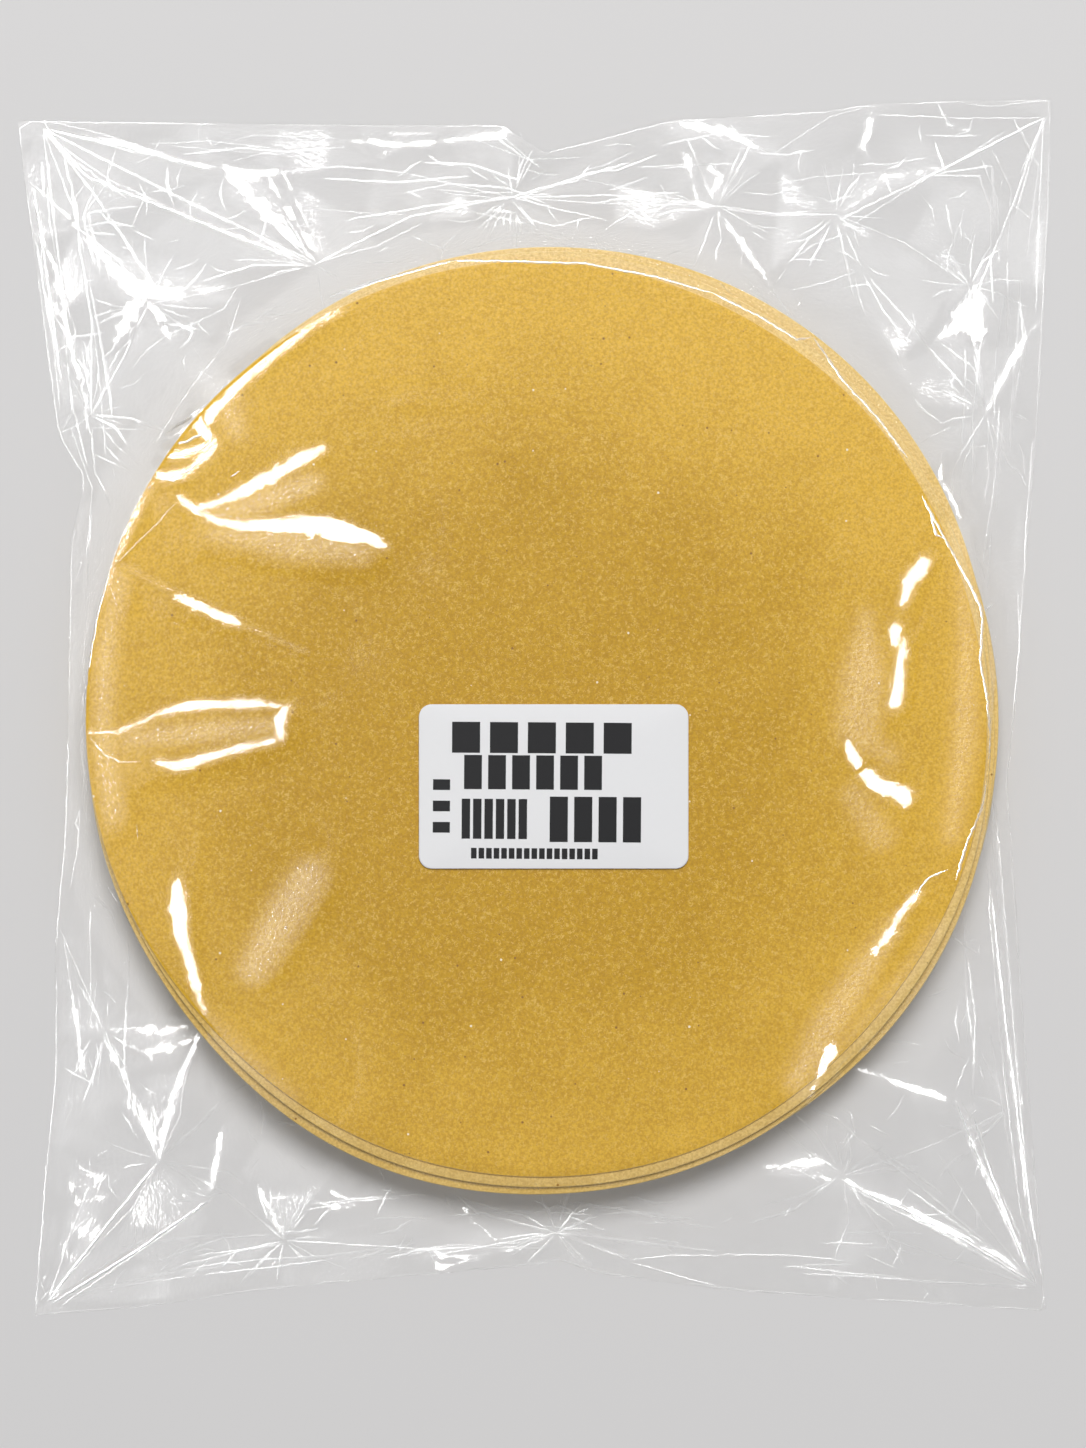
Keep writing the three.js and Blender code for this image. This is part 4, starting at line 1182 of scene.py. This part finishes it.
def in_margin(line):
    """Whether all places of a line lie outside the stack and a little inside the bag's edge."""
    x, y = np.array(line).T
    return bool((sample(to_edge, x, y) > 1).all() and (sample(beyond, x, y) > 0.5).all())


strips = [crease_strip(line, CREASE_WIDTH, CREASE_LIFT) for line in CREASES]
fine_lines = [bowed(place, end, 0.01) for place, ends in FANS for end in ends]
places = [np.array(one[:2]) for one in PINCHES]
for index, place in enumerate(places):
    fine_lines += [bowed(place, other, 0.04) for other in places[index + 1:]
                   if np.hypot(*(other - place)) < NEIGHBOURS]
    reach = PINCHES[index][2]
    for _ in range(RAYS):
        turn, start = wander.uniform(0, 2 * math.pi), wander.uniform(0.5, 3)
        ray = np.array([math.cos(turn), math.sin(turn)])
        fine_lines.append(bowed(place + ray * start, place + ray * wander.uniform(5, 0.5 * reach), 0.05))
    for _ in range(SCATTERED):
        turn, off = wander.uniform(0, 2 * math.pi), reach * wander.uniform(0.1, 1)
        skew = wander.normal(0, 0.6)
        start = place + off * np.array([math.cos(turn), math.sin(turn)])
        way = np.array([math.cos(turn + skew), math.sin(turn + skew)])
        fine_lines.append(bowed(start, start + way * wander.uniform(1.5, 8), 0.1))
edge_walk = walk_along(closed_outline, EDGE_POINTS)
for _ in range(ALONG_EDGE):
    inward, first = wander.uniform(0.02, 0.16), wander.integers(0, EDGE_POINTS - 40)
    stretch = edge_walk[first:first + wander.integers(6, 36)]
    out = stretch[[0, len(stretch) // 2, -1]] - STACK_CENTRE
    fine_lines.append(STACK_CENTRE + out * (1 - inward - wander.normal(0, 0.006, (3, 1))))
fine_lines = [line for line in fine_lines if in_margin(line)]
print(len(fine_lines), "fine lines")

# %% [markdown]
# ## One piece of creases
# Thousands of separate strips would be slow to handle, so all of them are joined in one mesh. Its
# second material is for the brighter ones. The sealed edge is a chain of short strips.

# %% All creases
for line in fine_lines:
    width = wander.uniform(0.18, 0.6)
    strips.append(crease_strip(line, width, width * wander.uniform(0.05, 0.15)))
inset = closed_outline - STACK_CENTRE
inset = STACK_CENTRE + inset * (1 - SEAL_INSET / np.linalg.norm(inset, axis=1, keepdims=True))
seal_line = walk_along(inset, SEAL_POINTS)
first = 0
while first < SEAL_POINTS - 4:
    last = first + wander.integers(3, 14)
    strips.append(crease_strip(seal_line[first:last], wander.uniform(0.12, 0.3), 0.02))
    first = last + wander.integers(-1, 2)
bright = [crease_strip(line, BRIGHT_WIDTH, BRIGHT_LIFT) for line in BRIGHT_CREASES]
creases = joined_strips("film_creases", strips + bright, milky_film("creased_film", 0.15, 0.22))
bright_faces = sum(len(strip_faces(*strip.shape[:2], 0)) for strip in bright)
creases.data.materials.append(milky_film("bright_crease", 0.5, 0.25))
which = np.zeros(len(creases.data.polygons), int)
which[-bright_faces:] = 1
creases.data.polygons.foreach_set("material_index", which)
creases.visible_shadow = False
creases.visible_diffuse = False
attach(creases, "root")
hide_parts("bag")
print("creases", len(strips), "with", len(creases.data.polygons), "faces")

# %% [markdown]
# ## Label
# The label is a small sheet of white paper with round corners, stuck on the front of the bag. Its
# print is made plain: rows of bars and blocks, as wide and as black as print of that kind.

# %% Label
LABEL_SIZE = (50.5, 30.8)
LABEL_CORNER = 2.4
LABEL_CENTRE = (3.6, -14.9)
LABEL_LEVEL = STACK_TOP + 0.35
LABEL_THICKNESS = 0.12


def label_rings():
    """Rings of a sheet with round corners: a quarter circle at each corner of a smaller rectangle,
    scaled from the middle out over the top, down its edge and back underneath."""
    angle = np.linspace(0, 2 * math.pi, 160, endpoint=False)
    x = np.sign(np.cos(angle)) * (LABEL_SIZE[0] / 2 - LABEL_CORNER) + LABEL_CORNER * np.cos(angle)
    y = np.sign(np.sin(angle)) * (LABEL_SIZE[1] / 2 - LABEL_CORNER) + LABEL_CORNER * np.sin(angle)
    parts = np.array([0.1, 0.5, 0.99, 1.0, 1.0, 0.1])[:, None]
    levels = LABEL_LEVEL + LABEL_THICKNESS * np.array([1, 1, 1, 0.8, 0, 0])[:, None]
    return np.dstack([LABEL_CENTRE[0] + x * parts, LABEL_CENTRE[1] + y * parts,
                      np.broadcast_to(levels, (6, len(angle)))])


label_paper = plain_material("label_paper", (0.765, 0.765, 0.775), roughness=0.5, gloss=0.1)
label = closed_rings("label_sheet", label_rings(), label_paper)
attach(label, "root")
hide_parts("label")
print("label", LABEL_SIZE[0], "by", LABEL_SIZE[1], "mm")

# %% [markdown]
# ## Print
# Ink lies flat on the paper, so each block is a single face just above it.

# %% Print on the label
# Rows of blocks as (left, right, top, bottom, number of blocks), in mm from the middle of the label
PRINT_ROWS = [
    (-19.1, 16.4, 12.0, 6.2, 5), (-16.8, 10.2, 5.8, -0.6, 6), (-17.2, -4.4, -2.4, -9.9, 6),
    (-0.7, 17.6, -1.9, -10.4, 4), (-15.4, 8.7, -11.6, -13.6, 17),
    (-22.6, -19.4, 1.2, -0.8, 1), (-22.6, -19.4, -2.8, -4.8, 1), (-22.6, -19.4, -6.8, -8.8, 1),
]
PRINT_GAP = 0.26
PRINT_TURN = -0.4
PRINT_LIFT = 0.02


def print_blocks():
    """Corners of every block: each row is cut into blocks of one width with a gap between them."""
    corners = []
    for left, right, top, bottom, count in PRINT_ROWS:
        pitch = (right - left) / count
        gap = PRINT_GAP * pitch if count > 1 else 0
        for index in range(count):
            start = left + index * pitch
            end = start + pitch - gap
            corners += [(start, bottom), (end, bottom), (end, top), (start, top)]
    return np.array(corners)


blocks = print_blocks()
turn = math.radians(PRINT_TURN)
turned = blocks @ np.array([[math.cos(turn), math.sin(turn)], [-math.sin(turn), math.cos(turn)]])
print_level = LABEL_LEVEL + LABEL_THICKNESS + PRINT_LIFT
print_points = np.column_stack([turned + LABEL_CENTRE, np.full(len(blocks), print_level)])
print_faces = np.arange(len(blocks)).reshape(-1, 4).tolist()
label_ink = plain_material("label_ink", (0.006, 0.006, 0.007), roughness=0.45, gloss=0.1)
label_print = mesh_object("label_print", print_points, print_faces, label_ink, smooth=False)
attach(label_print, "root")
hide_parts("label")
print(len(print_faces), "blocks of print")

# %% [markdown]
# ## Floor
# A large, plain, pale floor with no gloss takes the soft shadow of the stack and nothing else.

# %% Floor
FLOOR_HALF = 3000
FLOOR_LEVEL = -0.02
floor_sides = FLOOR_HALF * np.array([(-1, -1), (1, -1), (1, 1), (-1, 1)])
floor_corners = [(x, y, FLOOR_LEVEL) for x, y in floor_sides]
pale_floor = plain_material("pale_floor", (0.68, 0.672, 0.672), roughness=0.8, gloss=0.0)
floor = mesh_object("floor", floor_corners, [[0, 1, 2, 3]], pale_floor, smooth=False)
print("floor", 2 * FLOOR_HALF, "mm wide")
